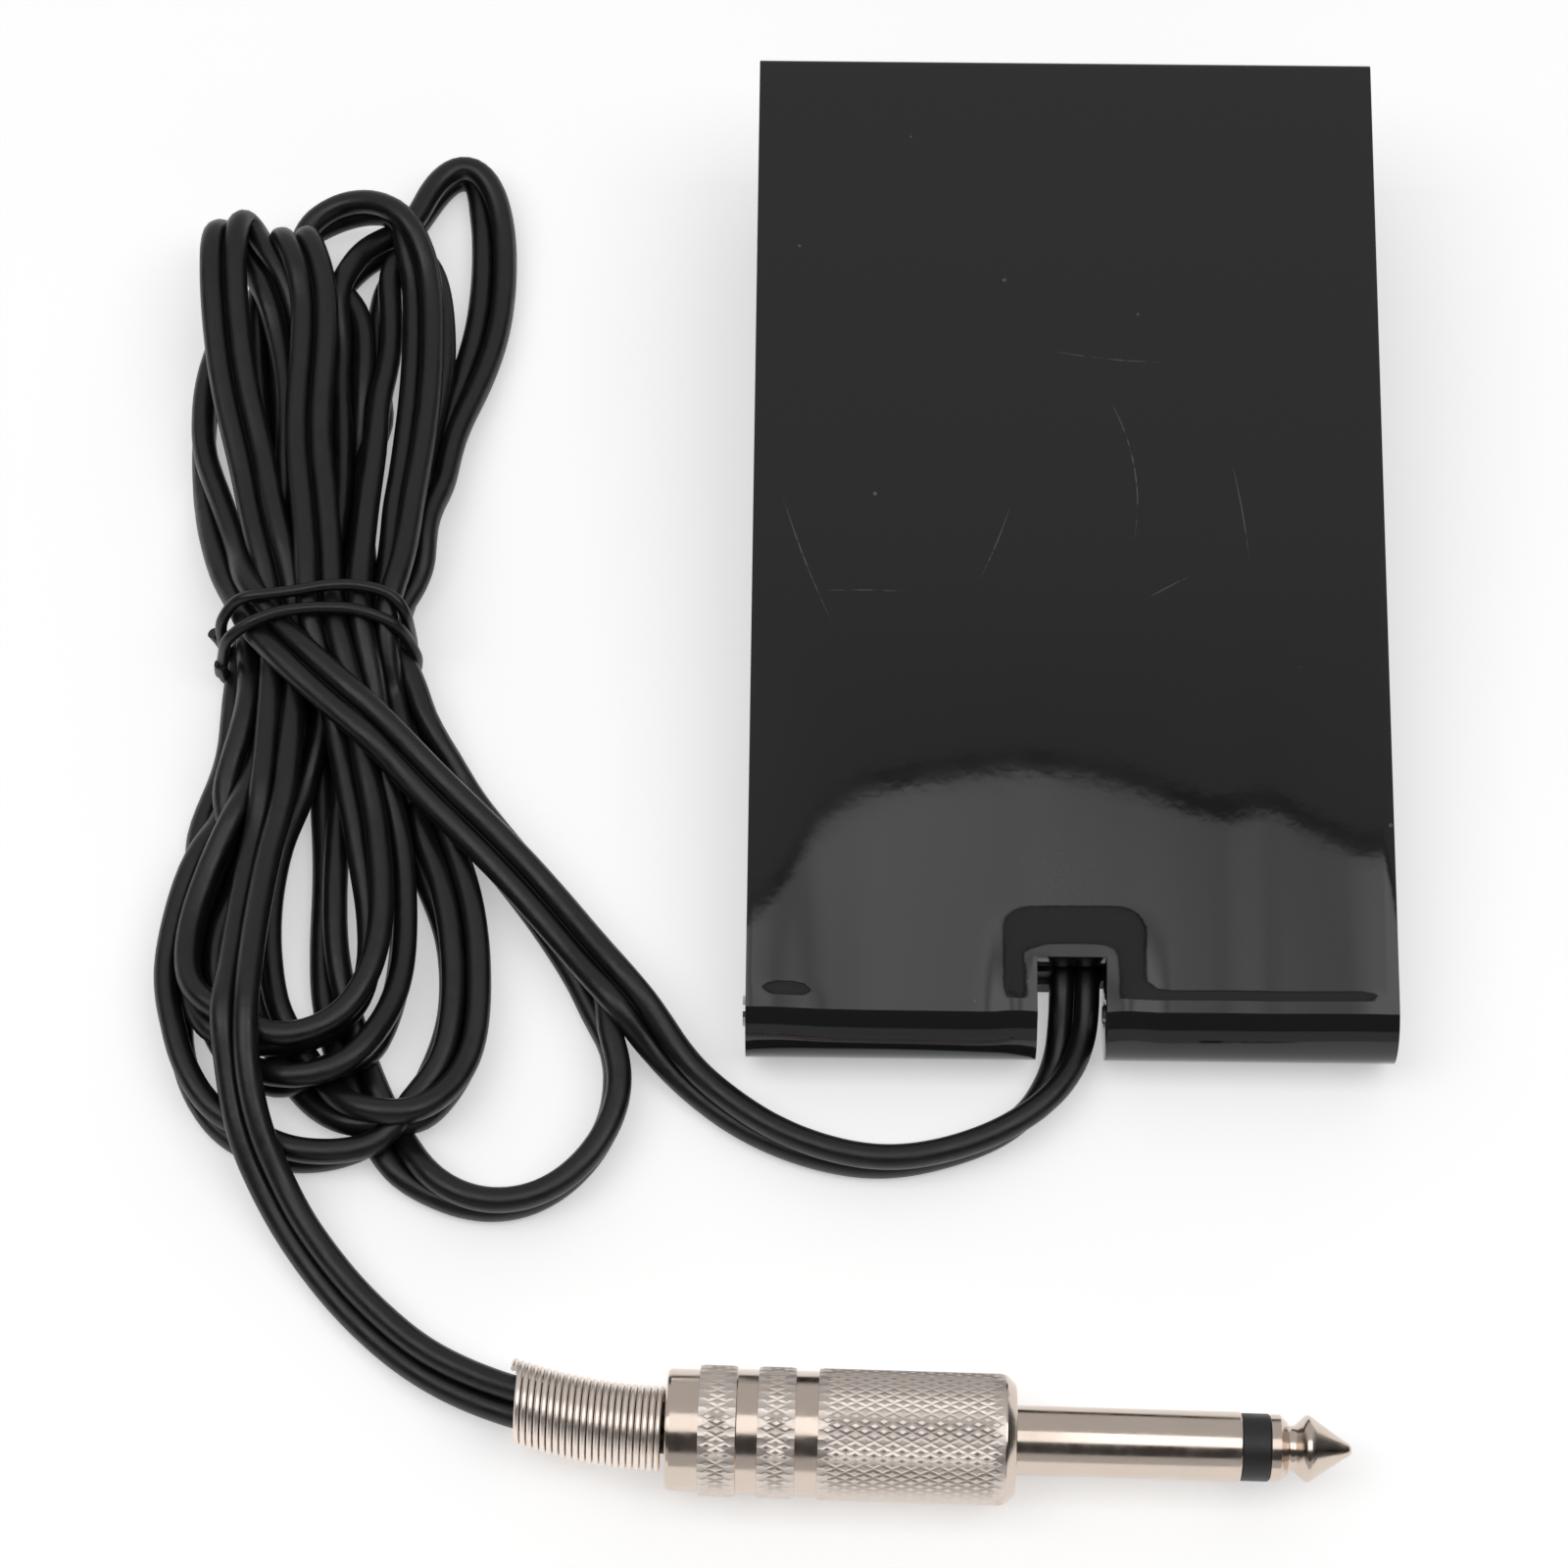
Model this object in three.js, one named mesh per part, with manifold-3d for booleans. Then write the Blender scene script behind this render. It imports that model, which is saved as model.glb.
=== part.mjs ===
// A sustain pedal: a sprung treadle on a base tray, a leaf switch under it, and a flat twin cord,
// folded into a hank, that ends in a 6.35 mm jack plug.
//
// Millimetres. +Z is up, +Y points to the front end that the foot presses and +X to the right.
// The origin is on the floor, under the middle of the pedal.

import * as THREE from "three";
import { mergeVertices } from "three/addons/utils/BufferGeometryUtils.js";
import Module from "manifold-3d";

const wasm = await Module();
wasm.setup();

// ---- Driving dimensions ----

const FLOOR = 0;
const GAP = 0.3; // running clearance between pieces that touch

// The hinge axis runs along X at the rear. The treadle's own frame has its origin on that axis,
// its y along the plate towards the front, and its z out of the plate's top.
const HINGE_Y = -46.6;
const HINGE_Z = 5.4;
const REST_SLOPE = 7.2; // degrees, plate to floor

const TREADLE_HALF_WIDTH = 31;
const TREADLE_FRONT_Y = 51;
const ROLL_RADIUS = 4.4;
const ROLL_INNER_RADIUS = 2.6;
const PLATE_THICKNESS = 2.2;
const SKIRT_THICKNESS = 1.8;
const FRONT_SKIRT_DROP = 14;
const LEDGE_THICKNESS = 1.4;
const LEDGE_REACH = 1.3;
const LEDGE_HALF_WIDTH = 5;
const NOTCH_HALF_WIDTH = 3.3;
const NOTCH_FRONT = 4.5; // from the hinge axis, along the plate, and clear of the roll
const NOTCH_WEB = 2;
const NOTCH_RIM_DEPTH = 3.5;
const EDGE_RADIUS = 0.6; // of the plate's front edge
const RIB_X = 10;
const RIB_HALF_THICKNESS = 0.6;
const RIB_DEPTH = 1.4;
const RIB_FROM_Y = 10; // from the hinge axis, along the plate
const RIB_TO_Y = 88;
const BOSS_HEIGHT = 2; // the spring's boss under the plate

const BASE_HALF_WIDTH = 28.6;
const BASE_REAR_Y = -42.6;
const BASE_FRONT_Y = 47.4;
const BASE_BOTTOM_Z = 1.2;
const BASE_FLOOR_Z = 3.2;
const BASE_WALL = 1.8;
const BASE_WALL_REAR_Z = 7;
const BASE_WALL_FRONT_Z = 11.2;
const NOTCH_WEB_X = NOTCH_HALF_WIDTH + NOTCH_WEB + 0.3;
const KNUCKLE_RADIUS = 2.2;
const KNUCKLE_WIDTH = 4;
const KNUCKLES_FROM_X = [NOTCH_WEB_X + 0.1, BASE_HALF_WIDTH - KNUCKLE_WIDTH];
const HOOK_X = 18;
const HOOK_HALF_WIDTH = 3;
const HOOK_REACH = 1.4;
const HOOK_UNDERSIDE_Z = 9.7;
const GUIDE_POST_TOP_Z = 5.2; // the post that the cord passes at the tray's rear

const PIN_RADIUS = 1;
const PIN_BORE_RADIUS = 1.25;
const PIN_HEAD_RADIUS = 1.5;
const PIN_HEAD_LENGTH = 0.6;
const COUNTERBORE_DEPTH = 0.9;
const PIN_INNER_X = 3.1;

const FOOT_RADIUS = 4.5;
const FOOT_TOP_Z = 1.9;
const FOOT_X = 21;
const FOOT_Y = 34;

const SPRING_Y = 22;
const SPRING_RADIUS = 4.5;
const SPRING_WIRE_RADIUS = 0.5;
const SPRING_BOTTOM_Z = 3.5;
const SPRING_TOP_Z = 15.4;
const SPRING_TURNS = 5.5;
const SPRING_BOSS_RADIUS = 3.4;
const SPRING_BOSS_TOP_Z = 5.2;

const STOP_X = 20;
const STOP_Y = 30;
const STOP_RADIUS = 3.5;
const STOP_POST_RADIUS = 4;
const STOP_POST_TOP_Z = 7.2;
const STOP_STEM_RADIUS = 1.4;
const STOP_STEM_Z = 4.5;
const STOP_TOP_Z = 11.2;

const LEAF_X = -14;
const LEAF_ROOT_Y = 8; // middle of the clamped stack, where the moving leaf bends
const LEAF_WIDTH = 5;
const LEAF_THICKNESS = 0.3;
const LEAF_TAB_Y = 15.2;
const FIXED_LEAF_Z = 4.5;
const MOVING_LEAF_Z = 7.6;
const MOVING_LEAF_TIP_Y = -23.5;
const FIXED_LEAF_TIP_Y = -15;
const CONTACT_Y = -12;
const PLUNGER_Y = -22;
const PLUNGER_TIP_Z = 8.2;
const PLUNGER_RADIUS = 1.5;
const RIVET_SHANK_RADIUS = 0.5;
const STACK_HALF_LENGTH = 3.5;
const STACK_HALF_WIDTH = 3;
const STACK_PLATE_THICKNESS = 0.6;
const STACK_SCREW_Y = [LEAF_ROOT_Y - 2, LEAF_ROOT_Y + 2];
const STACK_BOSS_TOP_Z = 4.2;

const SCREW_RADIUS = 0.8;
const SCREW_HOLE_RADIUS = 1.1;
const SCREW_HEAD_RADIUS = 1.5;
const SCREW_HEAD_HEIGHT = 0.8;
const SCREW_BOTTOM_Z = 2.2;
const SCREW_HOLE_BOTTOM_Z = 1.9;

const CLAMP_Y = -31.5;
const CLAMP_SCREW_X = 5.6;
const CLAMP_BOSS_RADIUS = 1.9;
const CLAMP_BOSS_TOP_Z = 5;
const CLAMP_BAR_HALF_WIDTH = 8;
const CLAMP_BAR_HALF_LENGTH = 2.5;
const CLAMP_BAR_THICKNESS = 1.2;

// The cord is a flat twin: two cores side by side.
const CORD_HALF_WIDTH = 2.2;
const CORD_HALF_HEIGHT = 1.15;
const CORD_LYING_Z = 1.35;
const CORD_ENTRY_X = 0.8;
const CORD_ENTRY_Z = 3.85;
const CORD_CHANNEL_Z = 2.4;
const CORD_CHANNEL_LEFT_X = -1.6;
const CORD_CHANNEL_RIGHT_X = 3.2;
const CORD_CHANNEL_FRONT_Y = -24.5;
const CORD_END_Y = -26;
const CORE_PITCH = 2.2; // between the middles of its two cores
const WIRE_RADIUS = 0.7;

// The hank lies to the left of the pedal, tied at its waist.
const HANK_BOTTOM_Z = 0.15;
const HANK_TOP_Z = 9;
const TIE_Y = -5;
const TIE_X = -74.5;
const TIE_HALF_WIDTH = 9.4;
const TIE_BOTTOM_Z = 0.1;
const TIE_TOP_Z = 9.6;
const TIE_WIRE_RADIUS = 0.62;

// The jack plug lies on its barrel. Its own frame has its origin in the middle of the barrel's
// front face and its z towards the tip.
const PLUG_FACE = [-5.6, -88.9, 6.1];
const PLUG_TURN = -1.13; // degrees, from +X
const BARREL_LENGTH = 32;
const BARREL_RADIUS = 6.05;
const BARREL_BAND = 5.65; // radius of the grooves between the knurled bands
const BARREL_BORE = 4.9;
const BARREL_REAR_BORE = 3.4;
const PLUG_SHAFT_RADIUS = 3.175;
const SHAFT_BORE = 2;
const FLANGE_RADIUS = 4.5;
const FLANGE_REAR_Z = -6.4;
const TIP_ROD_RADIUS = 0.7;
const TIP_WAIST_RADIUS = 2.05;
const RING_RADIUS = 3.05;
const PLUG_LENGTH = 30.75; // barrel face to tip
const RING_Z0 = 20.8; // the insulator ring's two faces
const RING_Z1 = 22.9;
const RELIEF_LENGTH = 14.2;
const RELIEF_RADIUS = 3.65;
const RELIEF_WIRE_RADIUS = 0.28;
const RELIEF_TURNS = 14;
const RELIEF_DROP = 1.4; // how far its rear end sags
const RELIEF_SWING = 2.7; // and turns to the side

const SIDES = [-1, 1];
const CORNERS = [[-1, -1], [1, -1], [-1, 1], [1, 1]];

// ---- Materials ----

const material = (color, roughness, metalness = 0) =>
  new THREE.MeshStandardMaterial({ color, roughness, metalness });
const BLACK_MOULDING = [0x1d1d1e, 0.28];
const BLACK_RUBBER = [0x18181a, 0.85];
const BLACK_PVC = [0x141415, 0.42];
const PHENOLIC = [0x5a3a24, 0.6];
const WHITE_NYLON = [0xd9d6cd, 0.5];
const NICKEL = [0xc9c2b6, 0.25, 1];
const STEEL = [0xa9abae, 0.35, 1];
const BRASS = [0xb59a55, 0.3, 1];
const RED_PVC = [0x9c2a22, 0.5];

// ---- Solids ----

const turn = (degrees) => (degrees * Math.PI) / 180;

/** A manifold solid of a closed three.js geometry. */
function solid(geometry, matrix = new THREE.Matrix4()) {
  const bare = new THREE.BufferGeometry();
  bare.setAttribute("position", geometry.getAttribute("position").clone());
  if (geometry.index) bare.setIndex(geometry.index.clone());
  bare.applyMatrix4(matrix);
  const merged = mergeVertices(bare, 1e-4);
  return new wasm.Manifold(
    new wasm.Mesh({
      numProp: 3,
      vertProperties: new Float32Array(merged.attributes.position.array),
      triVerts: new Uint32Array(merged.index.array),
    }),
  );
}

/** The three.js geometry of a manifold solid. */
function geometryOf(body) {
  const mesh = body.getMesh();
  const geometry = new THREE.BufferGeometry();
  const position = new Float32Array(mesh.numVert * 3);
  for (let i = 0; i < mesh.numVert; i++) {
    position.set(mesh.vertProperties.subarray(i * mesh.numProp, i * mesh.numProp + 3), i * 3);
  }
  geometry.setAttribute("position", new THREE.BufferAttribute(position, 3));
  geometry.setIndex(new THREE.BufferAttribute(new Uint32Array(mesh.triVerts), 1));
  geometry.computeVertexNormals();
  return geometry;
}

const join = (bodies) => bodies.reduce((sum, body) => sum.add(body));
const cut = (body, tools) => tools.reduce((rest, tool) => rest.subtract(tool), body);

/** A box between two corners. */
function box([x0, y0, z0], [x1, y1, z1]) {
  const matrix = new THREE.Matrix4().makeTranslation((x0 + x1) / 2, (y0 + y1) / 2, (z0 + z1) / 2);
  return solid(new THREE.BoxGeometry(x1 - x0, y1 - y0, z1 - z0), matrix);
}

/** A solid of revolution. Its profile is [radius, height] pairs, and its axis leaves `at` along `axis`. */
function turned(profile, at = [0, 0, 0], axis = [0, 0, 1], sides = 20) {
  const points = profile.map(([radius, height]) => new THREE.Vector2(radius, height));
  const lathe = new THREE.LatheGeometry(points, sides);
  const toAxis = new THREE.Quaternion().setFromUnitVectors(
    new THREE.Vector3(0, 1, 0),
    new THREE.Vector3(...axis).normalize(),
  );
  const matrix = new THREE.Matrix4().compose(new THREE.Vector3(...at), toAxis, new THREE.Vector3(1, 1, 1));
  return solid(lathe, matrix);
}

/** A round bar along an axis, from `at`. */
const bar = (radius, length, at, axis, sides = 20) =>
  turned([[0, 0], [radius, 0], [radius, length], [0, length]], at, axis, sides);

/** A prism with its outline in the YZ plane, between two places along X. */
function prism(outline, x0, x1) {
  const shape = new THREE.Shape(outline.map(([y, z]) => new THREE.Vector2(y, z)));
  const geometry = new THREE.ExtrudeGeometry(shape, { depth: x1 - x0, bevelEnabled: false });
  const matrix = new THREE.Matrix4()
    .makeBasis(new THREE.Vector3(0, 1, 0), new THREE.Vector3(0, 0, 1), new THREE.Vector3(1, 0, 0))
    .setPosition(x0, 0, 0);
  return solid(geometry, matrix);
}

/** Points on an arc, from one angle to another in degrees. */
function arc(radius, from, to, steps, centre = [0, 0]) {
  return Array.from({ length: steps + 1 }, (_, i) => {
    const angle = turn(from + ((to - from) * i) / steps);
    return [centre[0] + radius * Math.cos(angle), centre[1] + radius * Math.sin(angle)];
  });
}

/**
 * A tube of an oval section along a smooth curve through the points. The oval's flat side lies level:
 * the section's x follows the curve's normal, which starts either upright or level.
 */
function tube(points, halfHeight, halfWidth, steps, sides = 8) {
  const curve = new THREE.CatmullRomCurve3(points.map((p) => new THREE.Vector3(...p)));
  const upright = Math.abs(curve.computeFrenetFrames(1).normals[0].z) > 0.5;
  const alongNormal = upright ? halfHeight : halfWidth;
  const alongBinormal = upright ? halfWidth : halfHeight;
  const outline = Array.from({ length: sides }, (_, i) => {
    const angle = (2 * Math.PI * i) / sides;
    return new THREE.Vector2(alongNormal * Math.cos(angle), alongBinormal * Math.sin(angle));
  });
  return new THREE.ExtrudeGeometry(new THREE.Shape(outline), { steps, extrudePath: curve });
}

/** The points of a helix about the z axis. */
function helix(radius, z0, z1, turns, stepsPerTurn) {
  const count = Math.round(turns * stepsPerTurn);
  return Array.from({ length: count + 1 }, (_, i) => {
    const angle = (2 * Math.PI * i) / stepsPerTurn;
    return [radius * Math.cos(angle), radius * Math.sin(angle), z0 + ((z1 - z0) * i) / count];
  });
}

// ---- The pedal's scene graph ----

const pedal = new THREE.Group();

function place(name, shape, [color, roughness, metalness], parent = pedal) {
  const geometry = shape.isBufferGeometry ? shape : geometryOf(shape);
  const mesh = new THREE.Mesh(geometry, material(color, roughness, metalness));
  mesh.name = name;
  parent.add(mesh);
}

// ---- Treadle, in its own frame ----

const treadleGroup = new THREE.Group();
treadleGroup.position.set(0, HINGE_Y, HINGE_Z);
treadleGroup.rotation.x = turn(REST_SLOPE);
pedal.add(treadleGroup);

/** A point of the row's YZ plane in the treadle's frame, at rest. */
function inTreadle(y, z) {
  const slope = turn(REST_SLOPE);
  const dy = y - HINGE_Y;
  const dz = z - HINGE_Z;
  return [dy * Math.cos(slope) + dz * Math.sin(slope), dz * Math.cos(slope) - dy * Math.sin(slope)];
}

const PLATE_TOP = ROLL_RADIUS;
const PLATE_UNDER = ROLL_RADIUS - PLATE_THICKNESS;
const TREADLE_LENGTH =
  (TREADLE_FRONT_Y - HINGE_Y + PLATE_TOP * Math.sin(turn(REST_SLOPE))) / Math.cos(turn(REST_SLOPE));

/** The front skirt stands upright at rest: a place on its outer face, `drop` below the plate's top. */
function frontFace(drop) {
  const slope = turn(REST_SLOPE);
  return [TREADLE_LENGTH - drop * Math.sin(slope), PLATE_TOP - drop * Math.cos(slope)];
}

function plateAndRoll() {
  const outline = [
    ...arc(EDGE_RADIUS, 0, 90, 3, [TREADLE_LENGTH - EDGE_RADIUS, PLATE_TOP - EDGE_RADIUS]),
    ...arc(ROLL_RADIUS, 90, 270, 16),
    ...arc(ROLL_INNER_RADIUS, 270, 90, 12),
    [1, PLATE_UNDER],
    [TREADLE_LENGTH - 0.4, PLATE_UNDER],
  ];
  return prism(outline, -TREADLE_HALF_WIDTH, TREADLE_HALF_WIDTH);
}

function sideSkirt(side) {
  const [frontY, frontZ] = frontFace(FRONT_SKIRT_DROP);
  const outline = [
    ...arc(ROLL_RADIUS, 90, 270, 16),
    [frontY, frontZ],
    frontFace(EDGE_RADIUS),
    [TREADLE_LENGTH - EDGE_RADIUS, PLATE_TOP],
  ];
  const outer = side * TREADLE_HALF_WIDTH;
  const inner = side * (TREADLE_HALF_WIDTH - SKIRT_THICKNESS);
  return join([
    prism(outline, Math.min(outer, inner), Math.max(outer, inner)),
    bar(ROLL_RADIUS, SKIRT_THICKNESS, [Math.min(outer, inner), 0, 0], [1, 0, 0], 32),
  ]);
}

function frontSkirt() {
  const topOuter = frontFace(EDGE_RADIUS);
  const bottomOuter = frontFace(FRONT_SKIRT_DROP);
  const outline = [
    topOuter,
    [topOuter[0] - SKIRT_THICKNESS, topOuter[1]],
    [bottomOuter[0] - SKIRT_THICKNESS, bottomOuter[1]],
    bottomOuter,
  ];
  return prism(outline, -TREADLE_HALF_WIDTH, TREADLE_HALF_WIDTH);
}

/** The ledge inside the front skirt that the base's hook holds down at rest. */
function hookLedge(side) {
  const [outerY, bottomZ] = frontFace(FRONT_SKIRT_DROP);
  const innerY = outerY - SKIRT_THICKNESS;
  const outline = [
    [innerY + 0.5, bottomZ],
    [innerY + 0.5, bottomZ + LEDGE_THICKNESS],
    [innerY - LEDGE_REACH, bottomZ + LEDGE_THICKNESS],
    [innerY - LEDGE_REACH, bottomZ],
  ];
  return prism(outline, side * HOOK_X - LEDGE_HALF_WIDTH, side * HOOK_X + LEDGE_HALF_WIDTH);
}

/** The thickened sides and front of the cord notch, before the notch is cut. */
function notchRim() {
  const half = NOTCH_HALF_WIDTH + NOTCH_WEB;
  const under = PLATE_TOP - NOTCH_RIM_DEPTH;
  return join([
    bar(ROLL_RADIUS, 2 * half, [-half, 0, 0], [1, 0, 0], 32),
    box([-half, 0, under], [half, NOTCH_FRONT + SKIRT_THICKNESS, PLATE_TOP - 0.2]),
  ]);
}

const notchCut = () =>
  box(
    [-NOTCH_HALF_WIDTH, -ROLL_RADIUS - 1, -ROLL_RADIUS - 1],
    [NOTCH_HALF_WIDTH, NOTCH_FRONT, PLATE_TOP + 1],
  );

function plunger() {
  const [y, z] = inTreadle(PLUNGER_Y, PLUNGER_TIP_Z);
  const profile = [
    [0, 0],
    [0.8, 0.14],
    [PLUNGER_RADIUS, 0.8],
    [PLUNGER_RADIUS, PLATE_UNDER + 0.4 - z],
    [0, PLATE_UNDER + 0.4 - z],
  ];
  return turned(profile, [LEAF_X, y, z], [0, 0, 1], 16);
}

function springBoss() {
  const [y] = inTreadle(SPRING_Y, SPRING_TOP_Z);
  return bar(SPRING_BOSS_RADIUS, BOSS_HEIGHT + 0.3, [0, y, PLATE_UNDER - BOSS_HEIGHT], [0, 0, 1], 20);
}

const underRib = (side) =>
  box(
    [side * RIB_X - RIB_HALF_THICKNESS, RIB_FROM_Y, PLATE_UNDER - RIB_DEPTH],
    [side * RIB_X + RIB_HALF_THICKNESS, RIB_TO_Y, PLATE_UNDER + 0.3],
  );

function treadle() {
  const body = join([
    plateAndRoll(),
    ...SIDES.map(sideSkirt),
    frontSkirt(),
    ...SIDES.map(hookLedge),
    notchRim(),
    plunger(),
    springBoss(),
    ...SIDES.map(underRib),
  ]);
  const wide = 2 * TREADLE_HALF_WIDTH + 2;
  const bore = bar(PIN_BORE_RADIUS, wide, [-wide / 2, 0, 0], [1, 0, 0]);
  const counterbores = SIDES.map((side) =>
    bar(
      PIN_HEAD_RADIUS + GAP,
      COUNTERBORE_DEPTH + 1,
      [side * (TREADLE_HALF_WIDTH - COUNTERBORE_DEPTH), 0, 0],
      [side, 0, 0],
    ),
  );
  return cut(body, [notchCut(), bore, ...counterbores]);
}

place("treadle", treadle(), BLACK_MOULDING, treadleGroup);

// ---- Base tray ----

/** The tray's walls rise towards the front, as the pressed treadle above them does. */
function baseShell() {
  const outside = [
    [BASE_REAR_Y, BASE_BOTTOM_Z],
    [BASE_FRONT_Y, BASE_BOTTOM_Z],
    [BASE_FRONT_Y, BASE_WALL_FRONT_Z],
    [BASE_REAR_Y, BASE_WALL_REAR_Z],
  ];
  const inside = box(
    [-BASE_HALF_WIDTH + BASE_WALL, BASE_REAR_Y + BASE_WALL, BASE_FLOOR_Z],
    [BASE_HALF_WIDTH - BASE_WALL, BASE_FRONT_Y - BASE_WALL, BASE_WALL_FRONT_Z + 1],
  );
  const cordGap = box(
    [-NOTCH_WEB_X, BASE_REAR_Y - 1, BASE_FLOOR_Z],
    [NOTCH_WEB_X, BASE_REAR_Y + BASE_WALL + 0.1, BASE_WALL_FRONT_Z],
  );
  return cut(prism(outside, -BASE_HALF_WIDTH, BASE_HALF_WIDTH), [inside, cordGap]);
}

/** A hinge knuckle on an arm from the rear wall. */
function knuckle(x0) {
  const arm = [
    [HINGE_Y, HINGE_Z - 1.6],
    [BASE_REAR_Y + 0.5, BASE_FLOOR_Z],
    [BASE_REAR_Y + 0.5, BASE_WALL_REAR_Z],
    [HINGE_Y, HINGE_Z + 1.6],
  ];
  return join([
    bar(KNUCKLE_RADIUS, KNUCKLE_WIDTH, [x0, HINGE_Y, HINGE_Z], [1, 0, 0]),
    prism(arm, x0, x0 + KNUCKLE_WIDTH),
  ]);
}

/** A hook on the front wall that holds the treadle's ledge down at rest. */
function hook(side) {
  const outline = [
    [BASE_FRONT_Y - 0.5, HOOK_UNDERSIDE_Z],
    [BASE_FRONT_Y + HOOK_REACH, HOOK_UNDERSIDE_Z],
    [BASE_FRONT_Y + HOOK_REACH, HOOK_UNDERSIDE_Z + 0.5],
    [BASE_FRONT_Y + 0.3, BASE_WALL_FRONT_Z],
    [BASE_FRONT_Y - 0.5, BASE_WALL_FRONT_Z],
  ];
  return prism(outline, side * HOOK_X - HOOK_HALF_WIDTH, side * HOOK_X + HOOK_HALF_WIDTH);
}

/** A round boss that stands on the tray's floor. */
const boss = (x, y, radius, top) =>
  bar(radius, top - BASE_FLOOR_Z + 0.5, [x, y, BASE_FLOOR_Z - 0.5], [0, 0, 1], 20);

/** A hole that opens upwards. */
const blindHole = (x, y, radius, bottom) => bar(radius, 12, [x, y, bottom], [0, 0, 1], 16);

const stackBlock = (z0, z1, halfWidth) =>
  box(
    [LEAF_X - halfWidth, LEAF_ROOT_Y - STACK_HALF_LENGTH, z0],
    [LEAF_X + halfWidth, LEAF_ROOT_Y + STACK_HALF_LENGTH, z1],
  );

function baseTray() {
  const knuckles = SIDES.flatMap((side) =>
    KNUCKLES_FROM_X.map((x) => knuckle(side > 0 ? x : -x - KNUCKLE_WIDTH)),
  );
  const cordGuidePost = box(
    [CORD_CHANNEL_LEFT_X - 1.5, BASE_REAR_Y + 0.5, BASE_FLOOR_Z - 0.5],
    [CORD_CHANNEL_LEFT_X, BASE_REAR_Y + 1.7, GUIDE_POST_TOP_Z],
  );
  const body = join([
    baseShell(),
    ...knuckles,
    ...SIDES.map(hook),
    boss(0, SPRING_Y, SPRING_BOSS_RADIUS, SPRING_BOSS_TOP_Z),
    ...SIDES.map((side) => boss(side * STOP_X, STOP_Y, STOP_POST_RADIUS, STOP_POST_TOP_Z)),
    ...SIDES.map((side) => boss(side * CLAMP_SCREW_X, CLAMP_Y, CLAMP_BOSS_RADIUS, CLAMP_BOSS_TOP_Z)),
    stackBlock(BASE_FLOOR_Z - 0.5, STACK_BOSS_TOP_Z, STACK_HALF_WIDTH),
    cordGuidePost,
  ]);
  const cordChannel = box(
    [CORD_CHANNEL_LEFT_X, BASE_REAR_Y - 1, CORD_CHANNEL_Z],
    [CORD_CHANNEL_RIGHT_X, CORD_CHANNEL_FRONT_Y, 12],
  );
  const webClearances = SIDES.map((side) => {
    const from = side * (NOTCH_HALF_WIDTH - GAP);
    const to = side * NOTCH_WEB_X;
    return box([Math.min(from, to), BASE_REAR_Y - 1, 0], [Math.max(from, to), BASE_REAR_Y + 0.4, 12]);
  });
  const hingeBore = bar(PIN_BORE_RADIUS, 60, [-30, HINGE_Y, HINGE_Z], [1, 0, 0]);
  const footRecesses = CORNERS.map(([sx, sy]) =>
    bar(FOOT_RADIUS + GAP, FOOT_TOP_Z + GAP, [sx * FOOT_X, sy * FOOT_Y, FLOOR], [0, 0, 1], 20),
  );
  return cut(body, [
    cordChannel,
    ...webClearances,
    hingeBore,
    ...footRecesses,
    ...STACK_SCREW_Y.map((y) => blindHole(LEAF_X, y, SCREW_HOLE_RADIUS, SCREW_HOLE_BOTTOM_Z)),
    ...SIDES.map((side) => blindHole(side * CLAMP_SCREW_X, CLAMP_Y, SCREW_HOLE_RADIUS, SCREW_HOLE_BOTTOM_Z)),
    ...SIDES.map((side) => blindHole(side * STOP_X, STOP_Y, STOP_STEM_RADIUS + GAP, STOP_STEM_Z - GAP)),
  ]);
}

place("base_tray", baseTray(), BLACK_MOULDING);

for (const [sx, sy] of CORNERS) {
  const name = `foot_${sy > 0 ? "front" : "rear"}_${sx > 0 ? "right" : "left"}`;
  const profile = [
    [0, 0],
    [FOOT_RADIUS - 0.5, 0],
    [FOOT_RADIUS, 0.5],
    [FOOT_RADIUS, FOOT_TOP_Z],
    [0, FOOT_TOP_Z],
  ];
  place(name, turned(profile, [sx * FOOT_X, sy * FOOT_Y, FLOOR]), BLACK_RUBBER);
}

// ---- Hinge pins ----

/** A headed pin through the webs and knuckles of one side. `headEnd` is the X of the head's outer face. */
function hingePin(side, headEnd) {
  const length = headEnd - PIN_INNER_X;
  const profile = [
    [0, 0],
    [PIN_HEAD_RADIUS, 0],
    [PIN_HEAD_RADIUS, PIN_HEAD_LENGTH],
    [PIN_RADIUS, PIN_HEAD_LENGTH],
    [PIN_RADIUS, length - 0.2],
    [PIN_RADIUS - 0.2, length],
    [0, length],
  ];
  return turned(profile, [side * headEnd, HINGE_Y, HINGE_Z], [-side, 0, 0], 16);
}

place("hinge_pin_left", hingePin(-1, TREADLE_HALF_WIDTH + 0.3), STEEL);
place("hinge_pin_right", hingePin(1, TREADLE_HALF_WIDTH), STEEL);

// ---- Return spring and stops ----

function returnSpring() {
  const points = helix(
    SPRING_RADIUS,
    SPRING_BOTTOM_Z + SPRING_WIRE_RADIUS,
    SPRING_TOP_Z - SPRING_WIRE_RADIUS,
    SPRING_TURNS,
    14,
  ).map(([x, y, z]) => [x, y + SPRING_Y, z]);
  return tube(points, SPRING_WIRE_RADIUS, SPRING_WIRE_RADIUS, points.length - 1, 6);
}

place("return_spring", returnSpring(), STEEL);

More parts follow.
